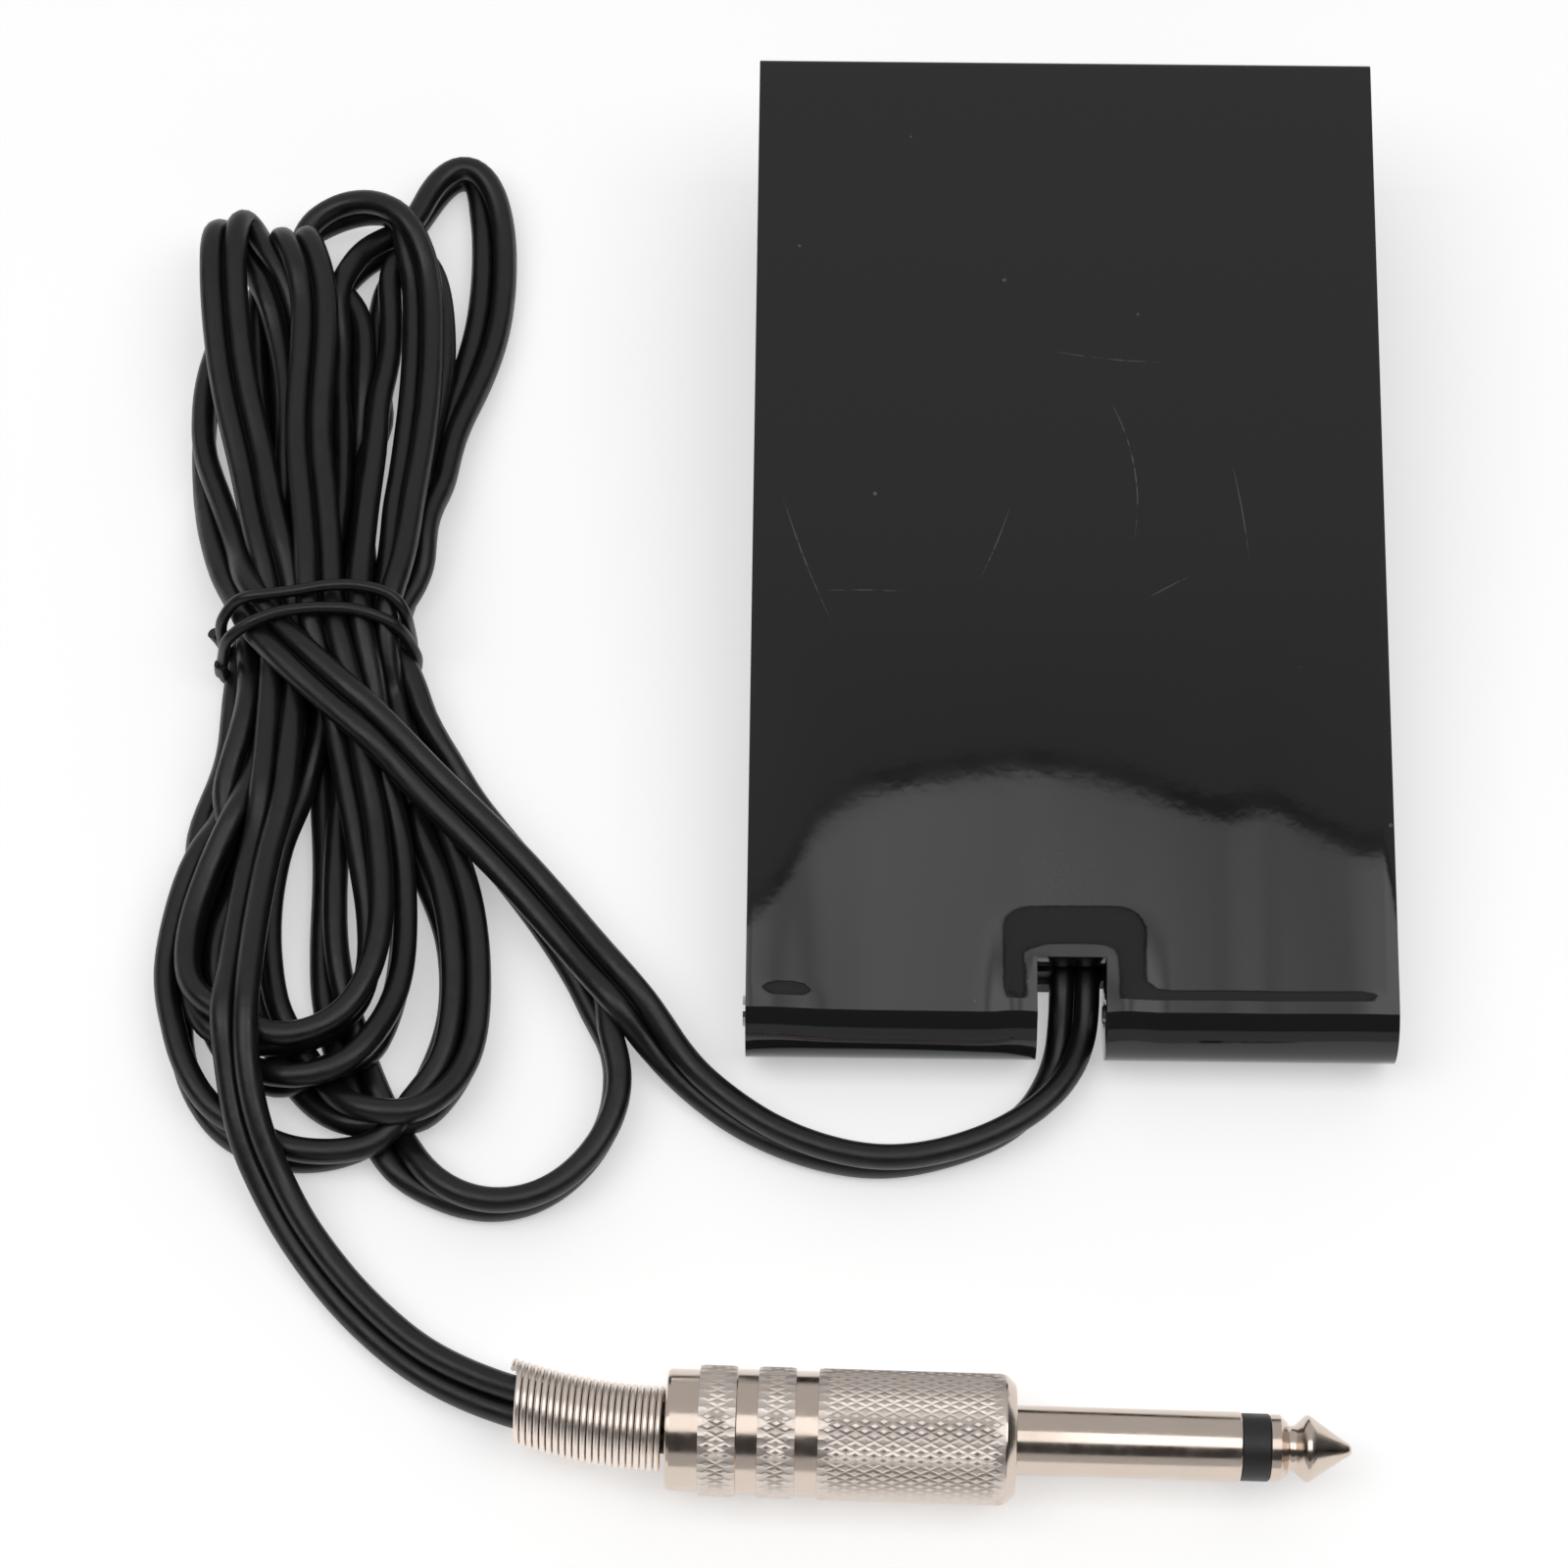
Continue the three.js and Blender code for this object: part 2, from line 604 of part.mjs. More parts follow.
/** A rubber stop whose stem sits in its post. */
function stopBumper(side) {
  const profile = [
    [0, STOP_STEM_Z],
    [STOP_STEM_RADIUS, STOP_STEM_Z],
    [STOP_STEM_RADIUS, STOP_POST_TOP_Z + GAP],
    [STOP_RADIUS, STOP_POST_TOP_Z + GAP],
    [STOP_RADIUS, STOP_TOP_Z - 0.6],
    [STOP_RADIUS - 0.6, STOP_TOP_Z],
    [0, STOP_TOP_Z],
  ];
  return turned(profile, [side * STOP_X, STOP_Y, FLOOR], [0, 0, 1], 20);
}

place("stop_bumper_left", stopBumper(-1), BLACK_RUBBER);
place("stop_bumper_right", stopBumper(1), BLACK_RUBBER);

// ---- Leaf switch ----

const stackHoles = () => STACK_SCREW_Y.map((y) => blindHole(LEAF_X, y, SCREW_HOLE_RADIUS, 0));

/** A contact leaf with its screw holes and the hole for its rivet. */
function leaf(tipY, z) {
  const strip = box(
    [LEAF_X - LEAF_WIDTH / 2, tipY, z],
    [LEAF_X + LEAF_WIDTH / 2, LEAF_TAB_Y, z + LEAF_THICKNESS],
  );
  const tabSides = SIDES.map((side) =>
    box([LEAF_X + side * 2.6 - 1, LEAF_TAB_Y - 3, 0], [LEAF_X + side * 2.6 + 1, LEAF_TAB_Y + 1, 12]),
  );
  const rivetHole = bar(RIVET_SHANK_RADIUS + GAP, 12, [LEAF_X, CONTACT_Y, 0], [0, 0, 1], 12);
  return cut(strip, [...tabSides, ...stackHoles(), rivetHole]);
}

/** A contact rivet: a domed head on the side that `up` points to, and a formed end on the other side. */
function rivet(leafZ, up) {
  const face = up > 0 ? leafZ + LEAF_THICKNESS : leafZ;
  const back = -(LEAF_THICKNESS + GAP);
  const profile = [
    [0, back - 0.3],
    [0.9, back - 0.3],
    [0.9, back],
    [RIVET_SHANK_RADIUS, back],
    [RIVET_SHANK_RADIUS, GAP],
    [1.4, GAP],
    [1.4, GAP + 0.2],
    [0.9, GAP + 0.35],
    [0, GAP + 0.35],
  ];
  return turned(profile, [LEAF_X, CONTACT_Y, face], [0, 0, up], 14);
}

place("fixed_contact_leaf", leaf(FIXED_LEAF_TIP_Y, FIXED_LEAF_Z), BRASS);
place("moving_contact_leaf", leaf(MOVING_LEAF_TIP_Y, MOVING_LEAF_Z), BRASS);
place("fixed_contact_rivet", rivet(FIXED_LEAF_Z, 1), NICKEL);
place("moving_contact_rivet", rivet(MOVING_LEAF_Z, -1), NICKEL);

const SPACER_BOTTOM_Z = FIXED_LEAF_Z + LEAF_THICKNESS + GAP;
const STACK_PLATE_Z = MOVING_LEAF_Z + LEAF_THICKNESS + GAP;
const STACK_PLATE_TOP_Z = STACK_PLATE_Z + STACK_PLATE_THICKNESS;
const spacer = stackBlock(SPACER_BOTTOM_Z, MOVING_LEAF_Z - GAP, STACK_HALF_WIDTH + 0.2);
const stackPlate = stackBlock(STACK_PLATE_Z, STACK_PLATE_TOP_Z, STACK_HALF_WIDTH);
place("contact_spacer", cut(spacer, stackHoles()), PHENOLIC);
place("contact_clamp_plate", cut(stackPlate, stackHoles()), STEEL);

/** A pan-head screw whose head sits just above `seat`. */
function screw(x, y, seat) {
  const under = seat + GAP;
  const profile = [
    [0, SCREW_BOTTOM_Z],
    [SCREW_RADIUS, SCREW_BOTTOM_Z],
    [SCREW_RADIUS, under],
    [SCREW_HEAD_RADIUS, under],
    [SCREW_HEAD_RADIUS, under + 0.4],
    [1, under + SCREW_HEAD_HEIGHT],
    [0, under + SCREW_HEAD_HEIGHT],
  ];
  const slot = box(
    [x - 2, y - 0.2, under + SCREW_HEAD_HEIGHT - 0.35],
    [x + 2, y + 0.2, under + SCREW_HEAD_HEIGHT + 1],
  );
  return turned(profile, [x, y, 0], [0, 0, 1], 14).subtract(slot);
}

STACK_SCREW_Y.forEach((y, i) => place(`contact_screw_${i + 1}`, screw(LEAF_X, y, STACK_PLATE_TOP_Z), STEEL));

// ---- Cord clamp and the wires inside the pedal ----

const CLAMP_BAR_Z = CLAMP_BOSS_TOP_Z + GAP;
const CLAMP_BAR_TOP_Z = CLAMP_BAR_Z + CLAMP_BAR_THICKNESS;

const clampBar = box(
  [-CLAMP_BAR_HALF_WIDTH, CLAMP_Y - CLAMP_BAR_HALF_LENGTH, CLAMP_BAR_Z],
  [CLAMP_BAR_HALF_WIDTH, CLAMP_Y + CLAMP_BAR_HALF_LENGTH, CLAMP_BAR_TOP_Z],
);
const clampHoles = SIDES.map((side) => blindHole(side * CLAMP_SCREW_X, CLAMP_Y, SCREW_HOLE_RADIUS, 0));
place("cord_clamp", cut(clampBar, clampHoles), BLACK_MOULDING);
place("clamp_screw_left", screw(-CLAMP_SCREW_X, CLAMP_Y, CLAMP_BAR_TOP_Z), STEEL);
place("clamp_screw_right", screw(CLAMP_SCREW_X, CLAMP_Y, CLAMP_BAR_TOP_Z), STEEL);

const fixedTabZ = FIXED_LEAF_Z + LEAF_THICKNESS / 2;
const movingTabZ = MOVING_LEAF_Z + LEAF_THICKNESS / 2;

const sleeveWire = [
  [CORD_ENTRY_X - CORE_PITCH / 2, CORD_END_Y + GAP, CORD_ENTRY_Z + 0.1],
  [-1.2, -21, 4.1],
  [-6, -14, 4.1],
  [-8.6, -5, 4.1],
  [-8.6, 11, 4.1],
  [-9.6, 16.6, 4.3],
  [-12.2, 18.6, 4.5],
  [-13.8, 17.8, fixedTabZ],
  [LEAF_X, LEAF_TAB_Y + GAP, fixedTabZ],
];
const tipWire = [
  [CORD_ENTRY_X + CORE_PITCH / 2, CORD_END_Y + GAP, CORD_ENTRY_Z + 0.1],
  [1.4, -20, 4.1],
  [-3.4, -13.4, 4.1],
  [-6.6, -4, 4.1],
  [-6.8, 11, 4.6],
  [-8.2, 18, 6.4],
  [-11.4, 20.6, 7.6],
  [-13.8, 19, movingTabZ],
  [LEAF_X, LEAF_TAB_Y + GAP, movingTabZ],
];
place("inner_wire_sleeve", tube(sleeveWire, WIRE_RADIUS, WIRE_RADIUS, 26, 6), BLACK_PVC);
place("inner_wire_tip", tube(tipWire, WIRE_RADIUS, WIRE_RADIUS, 26, 6), RED_PVC);

// ---- Cord: the pedal's lead, the hank, its tie and the plug's lead ----

// From inside the tray, over its rear edge, round a bend on the floor and up to the hank.
const PEDAL_LEAD = [
  [CORD_ENTRY_X, CORD_END_Y, CORD_ENTRY_Z],
  [CORD_ENTRY_X, -34, CORD_ENTRY_Z],
  [CORD_ENTRY_X, -42, 3.75],
  [0.7, -46.5, 2.7],
  [0.1, -50.2, 1.6],
  [-2.4, -54.2, CORD_LYING_Z],
  [-8.6, -58.8, CORD_LYING_Z],
  [-17.9, -60.9, CORD_LYING_Z],
  [-27.2, -58.7, CORD_LYING_Z],
  [-34.8, -53.7, CORD_LYING_Z],
  [-41, -47.4, CORD_LYING_Z],
  [-43.6, -44.2, CORD_LYING_Z],
];

// From the hank, in a wide bend on the floor, up into the plug's strain relief.
const PLUG_LEAD = [
  [-80.2, -56.2, CORD_LYING_Z],
  [-77.6, -62, CORD_LYING_Z],
  [-72.4, -69.4, CORD_LYING_Z],
  [-66.4, -76, 1.6],
  [-60.6, -81, 2.8],
  [-52.6, -85.1, 4.7],
  [-45.4, -87.4, 5.8],
  [-38, -88.2, 6.1],
  [-30.4, -88.4, 6.1],
];

place("cord_pedal_lead", tube(PEDAL_LEAD, CORD_HALF_HEIGHT, CORD_HALF_WIDTH, 34), BLACK_PVC);
place("cord_plug_lead", tube(PLUG_LEAD, CORD_HALF_HEIGHT, CORD_HALF_WIDTH, 24), BLACK_PVC);

// The hank's outline, from the lead's side of the big loop round to the top and back down the left.
const HANK_CURVE = [
  [-46, -40.6],
  [-52, -29],
  [-61, -15],
  [-65.5, TIE_Y],
  [-64, 9],
  [-57.5, 24],
  [-54.5, 36],
  [-57, 45],
  [-64, 47.5],
  [-72, 45],
  [-80, 41.5],
  [-88, 38],
  [-88.5, 22],
  [-85, 5],
  [-83.5, TIE_Y],
  [-84.5, -16],
  [-88.5, -30],
  [-90.5, -43],
  [-88, -53.5],
  [-83, -57.2],
];
// Then the foot's outline along the bottom, and the corner that closes it.
const HANK_FOOT = [
  [-77.6, -54.7],
  [-73.6, -60],
  [-61, -66],
  [-50, -65.4],
  [-44.4, -58],
  [-43.6, -50.6],
];
const HANK_CORNER = [
  [-46.6, -45.6],
  [-44.2, -42.6],
];
const HANK_EDGE = 1.2; // its bevel

/** The closed outer shape of the folded cord, with a groove round its waist for the tie. */
function hank() {
  const flatPoints = (places) => places.map(([x, y]) => new THREE.Vector2(x, y));
  const outline = [
    ...new THREE.SplineCurve(flatPoints(HANK_CURVE)).getPoints(60),
    ...new THREE.SplineCurve(flatPoints(HANK_FOOT)).getPoints(14),
    ...flatPoints(HANK_CORNER),
  ];
  const geometry = new THREE.ExtrudeGeometry(new THREE.Shape(outline), {
    depth: HANK_TOP_Z - HANK_BOTTOM_Z - 2 * HANK_EDGE,
    bevelThickness: HANK_EDGE,
    bevelSize: HANK_EDGE,
    bevelOffset: -HANK_EDGE,
    bevelSegments: 1,
  });
  const body = solid(geometry, new THREE.Matrix4().makeTranslation(0, 0, HANK_BOTTOM_Z + HANK_EDGE));
  const [y0, y1] = [TIE_Y - 4, TIE_Y + 4];
  const groove = 2 * TIE_WIRE_RADIUS + 2 * GAP;
  return cut(body, [
    box([-100, y0, -1], [-50, y1, TIE_BOTTOM_Z + groove]),
    box([-100, y0, TIE_TOP_Z - groove], [-50, y1, 20]),
    box([-100, y0, -1], [TIE_X - TIE_HALF_WIDTH + groove, y1, 20]),
    box([TIE_X + TIE_HALF_WIDTH - groove, y0, -1], [-50, y1, 20]),
  ]);
}

/** Two turns of covered wire round the hank's waist: a rounded rectangle that winds along Y. */
function tie() {
  const halfWidth = TIE_HALF_WIDTH - TIE_WIRE_RADIUS;
  const halfHeight = (TIE_TOP_Z - TIE_BOTTOM_Z) / 2 - TIE_WIRE_RADIUS;
  const middle = (TIE_TOP_Z + TIE_BOTTOM_Z) / 2;
  const steps = 48;
  const squared = (value) => Math.sign(value) * Math.abs(value) ** 0.4;
  const points = Array.from({ length: steps + 1 }, (_, i) => {
    const angle = (4 * Math.PI * i) / steps;
    return [
      TIE_X - halfWidth * squared(Math.cos(angle)),
      TIE_Y + 2 - (4 * i) / steps,
      middle + halfHeight * squared(Math.sin(angle)),
    ];
  });
  return tube(points, TIE_WIRE_RADIUS, TIE_WIRE_RADIUS, steps, 6);
}

place("cord_hank", hank(), BLACK_PVC);
place("cord_tie", tie(), BLACK_PVC);

// ---- Jack plug, in its own frame: z runs from the barrel towards the tip ----

const plugGroup = new THREE.Group();
plugGroup.position.set(...PLUG_FACE);
plugGroup.rotation.set(0, Math.PI / 2, turn(PLUG_TURN), "ZYX");
pedal.add(plugGroup);

const placeOnPlug = (name, shape, look) => place(name, shape, look, plugGroup);

/** The hollow barrel with its knurled bands as plain raised rings. */
function plugBarrel() {
  const profile = [
    [3.6, 0],
    [5, 0],
    [5.75, -0.6],
    [5.9, -1],
    [BARREL_RADIUS, -1.1],
    [BARREL_RADIUS, -18.1],
    [BARREL_BAND, -18.3],
    [BARREL_BAND, -20.1],
    [BARREL_RADIUS, -20.3],
    [BARREL_RADIUS, -23.6],
    [BARREL_BAND, -23.8],
    [BARREL_BAND, -25.4],
    [BARREL_RADIUS, -25.6],
    [BARREL_RADIUS, -29],
    [5.55, -29.1],
    [5.55, -31.6],
    [5.2, -BARREL_LENGTH],
    [BARREL_REAR_BORE, -BARREL_LENGTH],
    [BARREL_REAR_BORE, -30],
    [BARREL_BORE, -29],
    [BARREL_BORE, -1.2],
    [3.6, -1.2],
  ];
  return turned([...profile].reverse().concat([profile.at(-1)]), [0, 0, 0], [0, 0, 1], 28);
}

/** A turned tube wall from its inner and outer radius. */
const pipe = (inner, outer, z0, z1, sides = 20) =>
  turned([[inner, z0], [outer, z0], [outer, z1], [inner, z1], [inner, z0]], [0, 0, 0], [0, 0, 1], sides);

/** The shaft with the flange that the barrel screws onto. */
function plugSleeve() {
  const profile = [
    [SHAFT_BORE, FLANGE_REAR_Z],
    [FLANGE_RADIUS, FLANGE_REAR_Z],
    [FLANGE_RADIUS, -1.6],
    [PLUG_SHAFT_RADIUS, -1.5],
    [PLUG_SHAFT_RADIUS, RING_Z0 - GAP],
    [SHAFT_BORE, RING_Z0 - GAP],
    [SHAFT_BORE, FLANGE_REAR_Z],
  ];
  return turned(profile);
}

/** The tip on its long rod. */
function plugTip() {
  const profile = [
    [0, -8.4],
    [TIP_ROD_RADIUS, -8.4],
    [TIP_ROD_RADIUS, RING_Z1 + GAP],
    [RING_RADIUS, RING_Z1 + GAP],
    [RING_RADIUS, 24.1],
    [TIP_WAIST_RADIUS, 25],
    [TIP_WAIST_RADIUS, 25.4],
    [3.08, 26.4],
    [3.08, 26.8],
    [0.62, PLUG_LENGTH - 0.3],
    [0, PLUG_LENGTH],
  ];
  return turned(profile);
}

const insulatorRing = () => pipe(1, RING_RADIUS, RING_Z0, RING_Z1);
const tipLug = box([-1.4, 1.9, -15], [1.4, 2.3, -8.8]).add(box([-1.4, -1, -9.2], [1.4, 2.3, -8.8]));
const sleeveLug = box([-1.8, -3.4, -21], [1.8, -3, -8]).add(box([-1.8, -3.4, -8.4], [1.8, -1.6, -8]));

/** The strain relief: an open-wound coil whose rear end bends away from the barrel's axis. */
function plugSpring() {
  const stepsPerTurn = 10;
  const front = -BARREL_LENGTH - GAP - RELIEF_WIRE_RADIUS;
  const points = helix(RELIEF_RADIUS, front, front - RELIEF_LENGTH, RELIEF_TURNS, stepsPerTurn);
  const bent = points.map(([x, y, z]) => {
    const along = (front - z) / RELIEF_LENGTH;
    return [x + RELIEF_DROP * along ** 2, y + RELIEF_SWING * along ** 2, z];
  });
  return tube(bent, RELIEF_WIRE_RADIUS, RELIEF_WIRE_RADIUS, bent.length - 1, 4);
}

// The cord's two cores spread to the lugs inside the barrel.
const plugTipWire = [
  [-0.1, CORE_PITCH / 2, -24.4],
  [-0.6, 1.2, -21],
  [-0.3, 1.6, -17.6],
  [0, 2.1, -15.3],
];
const plugSleeveWire = [
  [0, -CORE_PITCH / 2, -24.4],
  [0, -1.7, -23.6],
  [0, -2.6, -22.4],
  [0, -3.2, -21.3],
];

placeOnPlug("plug_barrel", plugBarrel(), NICKEL);
placeOnPlug("plug_sleeve", plugSleeve(), NICKEL);
placeOnPlug("plug_core_tube", pipe(1, 1.7, -6, RING_Z0 - GAP), WHITE_NYLON);
placeOnPlug("plug_insulator_ring", insulatorRing(), BLACK_MOULDING);
placeOnPlug("plug_tip", plugTip(), NICKEL);
placeOnPlug("plug_rear_insulator", pipe(1, 3.8, -7.7, -6.7), PHENOLIC);
placeOnPlug("plug_tip_lug", tipLug, NICKEL);
placeOnPlug("plug_sleeve_lug", sleeveLug, NICKEL);
placeOnPlug("plug_wire_tip", tube(plugTipWire, 0.6, 0.6, 10, 6), RED_PVC);
placeOnPlug("plug_wire_sleeve", tube(plugSleeveWire, 0.6, 0.6, 8, 6), BLACK_PVC);
placeOnPlug("plug_liner", pipe(4.1, 4.6, -28, -8), BLACK_MOULDING);
placeOnPlug("plug_spring", plugSpring(), NICKEL);

export default pedal;
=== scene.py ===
"""A sustain pedal with its folded cord and jack plug: the looks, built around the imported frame.

Lengths are written in millimetres and turned into metres where a mesh is made.
"""
import math

import bmesh
import bpy
import numpy as np
from mathutils import Matrix, Vector


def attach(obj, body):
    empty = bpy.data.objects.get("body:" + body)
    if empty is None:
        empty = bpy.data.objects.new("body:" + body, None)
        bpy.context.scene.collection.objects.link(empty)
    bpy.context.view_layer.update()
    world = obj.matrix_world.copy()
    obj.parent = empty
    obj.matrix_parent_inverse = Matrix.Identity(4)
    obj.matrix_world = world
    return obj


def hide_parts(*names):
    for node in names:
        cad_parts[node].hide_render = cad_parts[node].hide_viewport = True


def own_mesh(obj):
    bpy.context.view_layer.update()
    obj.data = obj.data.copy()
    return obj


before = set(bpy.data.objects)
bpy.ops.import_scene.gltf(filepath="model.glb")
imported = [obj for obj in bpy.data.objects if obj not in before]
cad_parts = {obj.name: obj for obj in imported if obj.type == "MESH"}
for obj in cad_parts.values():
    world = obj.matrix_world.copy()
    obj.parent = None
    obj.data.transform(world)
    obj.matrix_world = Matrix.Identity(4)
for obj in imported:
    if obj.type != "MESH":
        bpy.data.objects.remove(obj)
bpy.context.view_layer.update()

MM = 0.001

# ---- Camera ----

LOOK_AT = (-27.71, -20.05, 0)
CAMERA_DISTANCE = 438.7
CAMERA_ELEVATION = 65
CAMERA_AZIMUTH = 1.0
CAMERA_ROLL = -0.3
SENSOR_WIDTH = 36
LENS = 101.3


def add_camera():
    """The photograph's camera: above and in front of the pedal, aimed at LOOK_AT."""
    elevation = math.radians(CAMERA_ELEVATION)
    azimuth = math.radians(CAMERA_AZIMUTH)
    roll = math.radians(CAMERA_ROLL)
    back = Vector((
        math.sin(azimuth) * math.cos(elevation),
        -math.cos(azimuth) * math.cos(elevation),
        math.sin(elevation),
    ))
    right = (-back).cross(Vector((0, 0, 1))).normalized()
    up = right.cross(-back)
    rolled_right = math.cos(roll) * right + math.sin(roll) * up
    rolled_up = -math.sin(roll) * right + math.cos(roll) * up
    data = bpy.data.cameras.new("camera")
    data.lens = LENS
    data.sensor_width = SENSOR_WIDTH
    data.clip_start = 0.01
    camera = bpy.data.objects.new("camera", data)
    place = (Vector(LOOK_AT) + back * CAMERA_DISTANCE) * MM
    turn = Matrix((rolled_right, rolled_up, back)).transposed()
    camera.matrix_world = Matrix.Translation(place) @ turn.to_4x4()
    bpy.context.scene.collection.objects.link(camera)
    bpy.context.scene.camera = camera


add_camera()

# ---- The cord's route, in millimetres: (x, y, height, tilt) ----
# Tilt turns the flat cord about its own line: 0 lies flat, 90 stands on edge.

PEDAL_LEAD = [
    (0.6, -26, 3.85, 0), (0.6, -34, 3.85, 0), (0.6, -42, 3.75, 0), (0.4, -47.3, 2.8, 12),
    (-0.8, -51.8, 2.3, 45), (-4, -55.8, 2.4, 62), (-9.5, -59, 2.5, 70), (-18, -60.8, 2.5, 70),
    (-27, -58.7, 2.5, 65), (-35, -53.6, 2.8, 50), (-41.5, -46.8, 4.2, 30), (-47, -39.8, 5.6, 15),
    (-54, -31.6, 6.2, 5), (-62, -24, 7.6, 0), (-71, -15.5, 9, 0), (-77, -9.6, 8.6, 0),
]
LOOPS = {
    # above the tie
    "H": [(-83, 0, 6.3, 10), (-85.5, 7, 4.7, 40), (-87.5, 15, 2.8, 80), (-87.5, 24.5, 2.4, 90),
          (-85, 30.5, 2.4, 90), (-80, 35.6, 2.2, 80), (-75, 34.8, 2, 70), (-72, 29, 1.7, 60),
          (-72.5, 20, 1.4, 30), (-72.5, 10, 1.4, 10)],
    "F": [(-66, 1, 2.8, 80), (-65, 8.5, 2.4, 70), (-62.5, 19, 2.2, 40), (-59.4, 29, 2, 22),
          (-58.8, 38, 1.9, 25), (-59.5, 45.8, 2, 45), (-62.1, 50.2, 2.2, 80), (-65.4, 47, 2.4, 90),
          (-68.5, 40.8, 2.4, 90), (-72.5, 38.8, 2.5, 90), (-74.8, 33, 2.5, 60), (-75, 23, 2.4, 30),
          (-74.5, 12, 2.6, 0)],
    "C": [(-67, -1, 6.9, 60), (-66.3, 9, 6.5, 40), (-65.4, 22, 5.9, 30), (-65.8, 33, 5.7, 40),
          (-67.2, 39.5, 5.9, 60), (-71, 43.3, 5.8, 80), (-75.5, 43, 5.3, 80), (-79.5, 39.5, 4, 50),
          (-81.5, 32, 3.4, 20), (-81.3, 24, 3.4, 10), (-80, 15, 3.6, 0), (-78.5, 6.5, 3.6, 0)],
    "G": [(-66, 3, 1.9, 60), (-64.8, 14, 1.8, 70), (-63.8, 26, 1.8, 80), (-64.6, 35.5, 1.8, 85),
          (-67.5, 39.4, 1.8, 90), (-69.6, 36.5, 2, 80), (-70, 28, 2.8, 45), (-70.5, 18, 3.6, 45),
          (-70.5, 7, 5.3, 70)],
    "B": [(-77, 5, 2.5, 0), (-78.5, 18, 2.5, 0), (-80, 29, 2.6, 0), (-80.8, 35.5, 3.4, 0),
          (-80.6, 38.2, 6, 0), (-78.8, 37.2, 9, 0), (-76.8, 33, 10, 0), (-76.2, 25, 9.5, 0),
          (-76.4, 15, 8.8, 0), (-75, 5.5, 8.2, 0)],
    "A": [(-77.5, 5.5, 4, 0), (-77.5, 16, 4.5, 0), (-78.6, 25, 5, 0), (-81, 33.5, 5, 0),
          (-84, 39, 5.6, 0), (-85.8, 40.3, 8, 0), (-86.2, 37, 10, 0), (-85.7, 30, 9.8, 0),
          (-84, 19.5, 8.8, 0), (-81.8, 12, 8, 0), (-80, 4, 6.6, 0)],
    # below the tie
    "S": [(-72.8, -11, 2, 0), (-72.5, -20, 1.8, 35), (-72, -30, 1.8, 70), (-71.5, -41, 1.6, 60),
          (-69, -51, 1.3, 30), (-64.5, -59.5, 1.5, 45), (-60, -64, 2.1, 65), (-55, -65.6, 2.2, 70),
          (-49.8, -64.4, 2.2, 72), (-45.4, -60.2, 2.2, 75), (-43.2, -54.5, 2.2, 75), (-44, -47.5, 2, 70),
          (-47.7, -39.6, 1.7, 45), (-53.5, -31, 1.8, 12), (-59.5, -23.5, 2.1, 5), (-64, -16.5, 2.2, 25)],
    "R": [(-74, -13.5, 2, 0), (-75.5, -20.5, 1.9, 25), (-77.4, -28, 1.8, 60), (-78, -37, 1.8, 75),
          (-77, -45.5, 1.6, 65), (-74, -52, 1.9, 60), (-70, -56.2, 2.3, 60), (-65.5, -58, 2.8, 62),
          (-61, -56.2, 2.8, 70), (-57.8, -51.5, 2.8, 80), (-57, -45, 2.8, 80), (-58, -36, 2.5, 75),
          (-61, -28.5, 2.4, 55), (-65, -21, 2.4, 40), (-68.5, -12.5, 2.3, 45)],
    "P": [(-81.3, -14, 1.8, 5), (-82.5, -22, 1.8, 40), (-84.5, -29, 2, 75), (-86, -37, 2.1, 95),
          (-86.2, -45, 2.1, 98), (-84.8, -52, 2.2, 90), (-81, -57.6, 2, 70), (-75.5, -60.4, 1.8, 55),
          (-70, -60.6, 1.6, 50), (-65, -58.2, 1.5, 48), (-61, -52.6, 1.8, 65), (-59.4, -45, 1.8, 85),
          (-60.3, -36.5, 1.8, 85), (-63.2, -28, 1.4, 65), (-67, -18, 1.2, 25), (-69, -11, 1.6, 0)],
    "Q2": [(-69.6, -12, 4.6, 60), (-68.2, -19, 4.1, 60), (-66, -27, 3.8, 65), (-64.6, -35, 3.8, 80),
           (-64.6, -43, 3.8, 80), (-66.4, -49.6, 3.8, 80), (-70, -53.3, 3.8, 70), (-75, -54, 3.6, 70),
           (-79.8, -51.8, 3, 70), (-82.6, -46.5, 2.3, 75), (-83, -40, 2.2, 75),
           (-81.2, -32.5, 2.1, 55), (-79.6, -23, 1.7, 20), (-79, -14, 1.6, 0)],
    "Q1": [(-71.4, -13, 7.3, 8), (-69.8, -21, 7, 22), (-68.2, -29, 6.9, 32), (-67, -37, 6.5, 55),
           (-67.4, -43.5, 6.3, 75), (-70, -48.3, 6.3, 80), (-74.5, -50.2, 6.2, 78),
           (-79.5, -50, 5.8, 78), (-83.4, -47, 5.4, 80), (-85, -42, 5, 80), (-84.5, -36, 4.8, 80),
           (-82.2, -28, 4.6, 65), (-80.2, -19, 4.2, 25), (-79.5, -11.5, 4, 0)],
}
PLUG_LEAD = [
    (-77.3, -12.9, 6.4, 5), (-77.4, -18.5, 6.8, 20), (-77.6, -23.9, 7.2, 30), (-78.2, -29.8, 7.9, 35),
    (-78.8, -35.8, 8.7, 35), (-79.2, -41.6, 9.5, 35), (-79.4, -47.8, 9.8, 35), (-79.1, -53.4, 8.9, 38),
    (-78, -58.6, 7, 40), (-75.9, -63.6, 5, 42), (-72, -69.8, 3.5, 45), (-66.6, -76, 3.1, 45),
    (-60.4, -81.2, 3.6, 42), (-52.6, -85.1, 4.7, 38), (-45.4, -87.2, 5.6, 38), (-38, -88.1, 6, 38),
    (-31, -88.4, 6.1, 38),
]
TIE_Y = -5
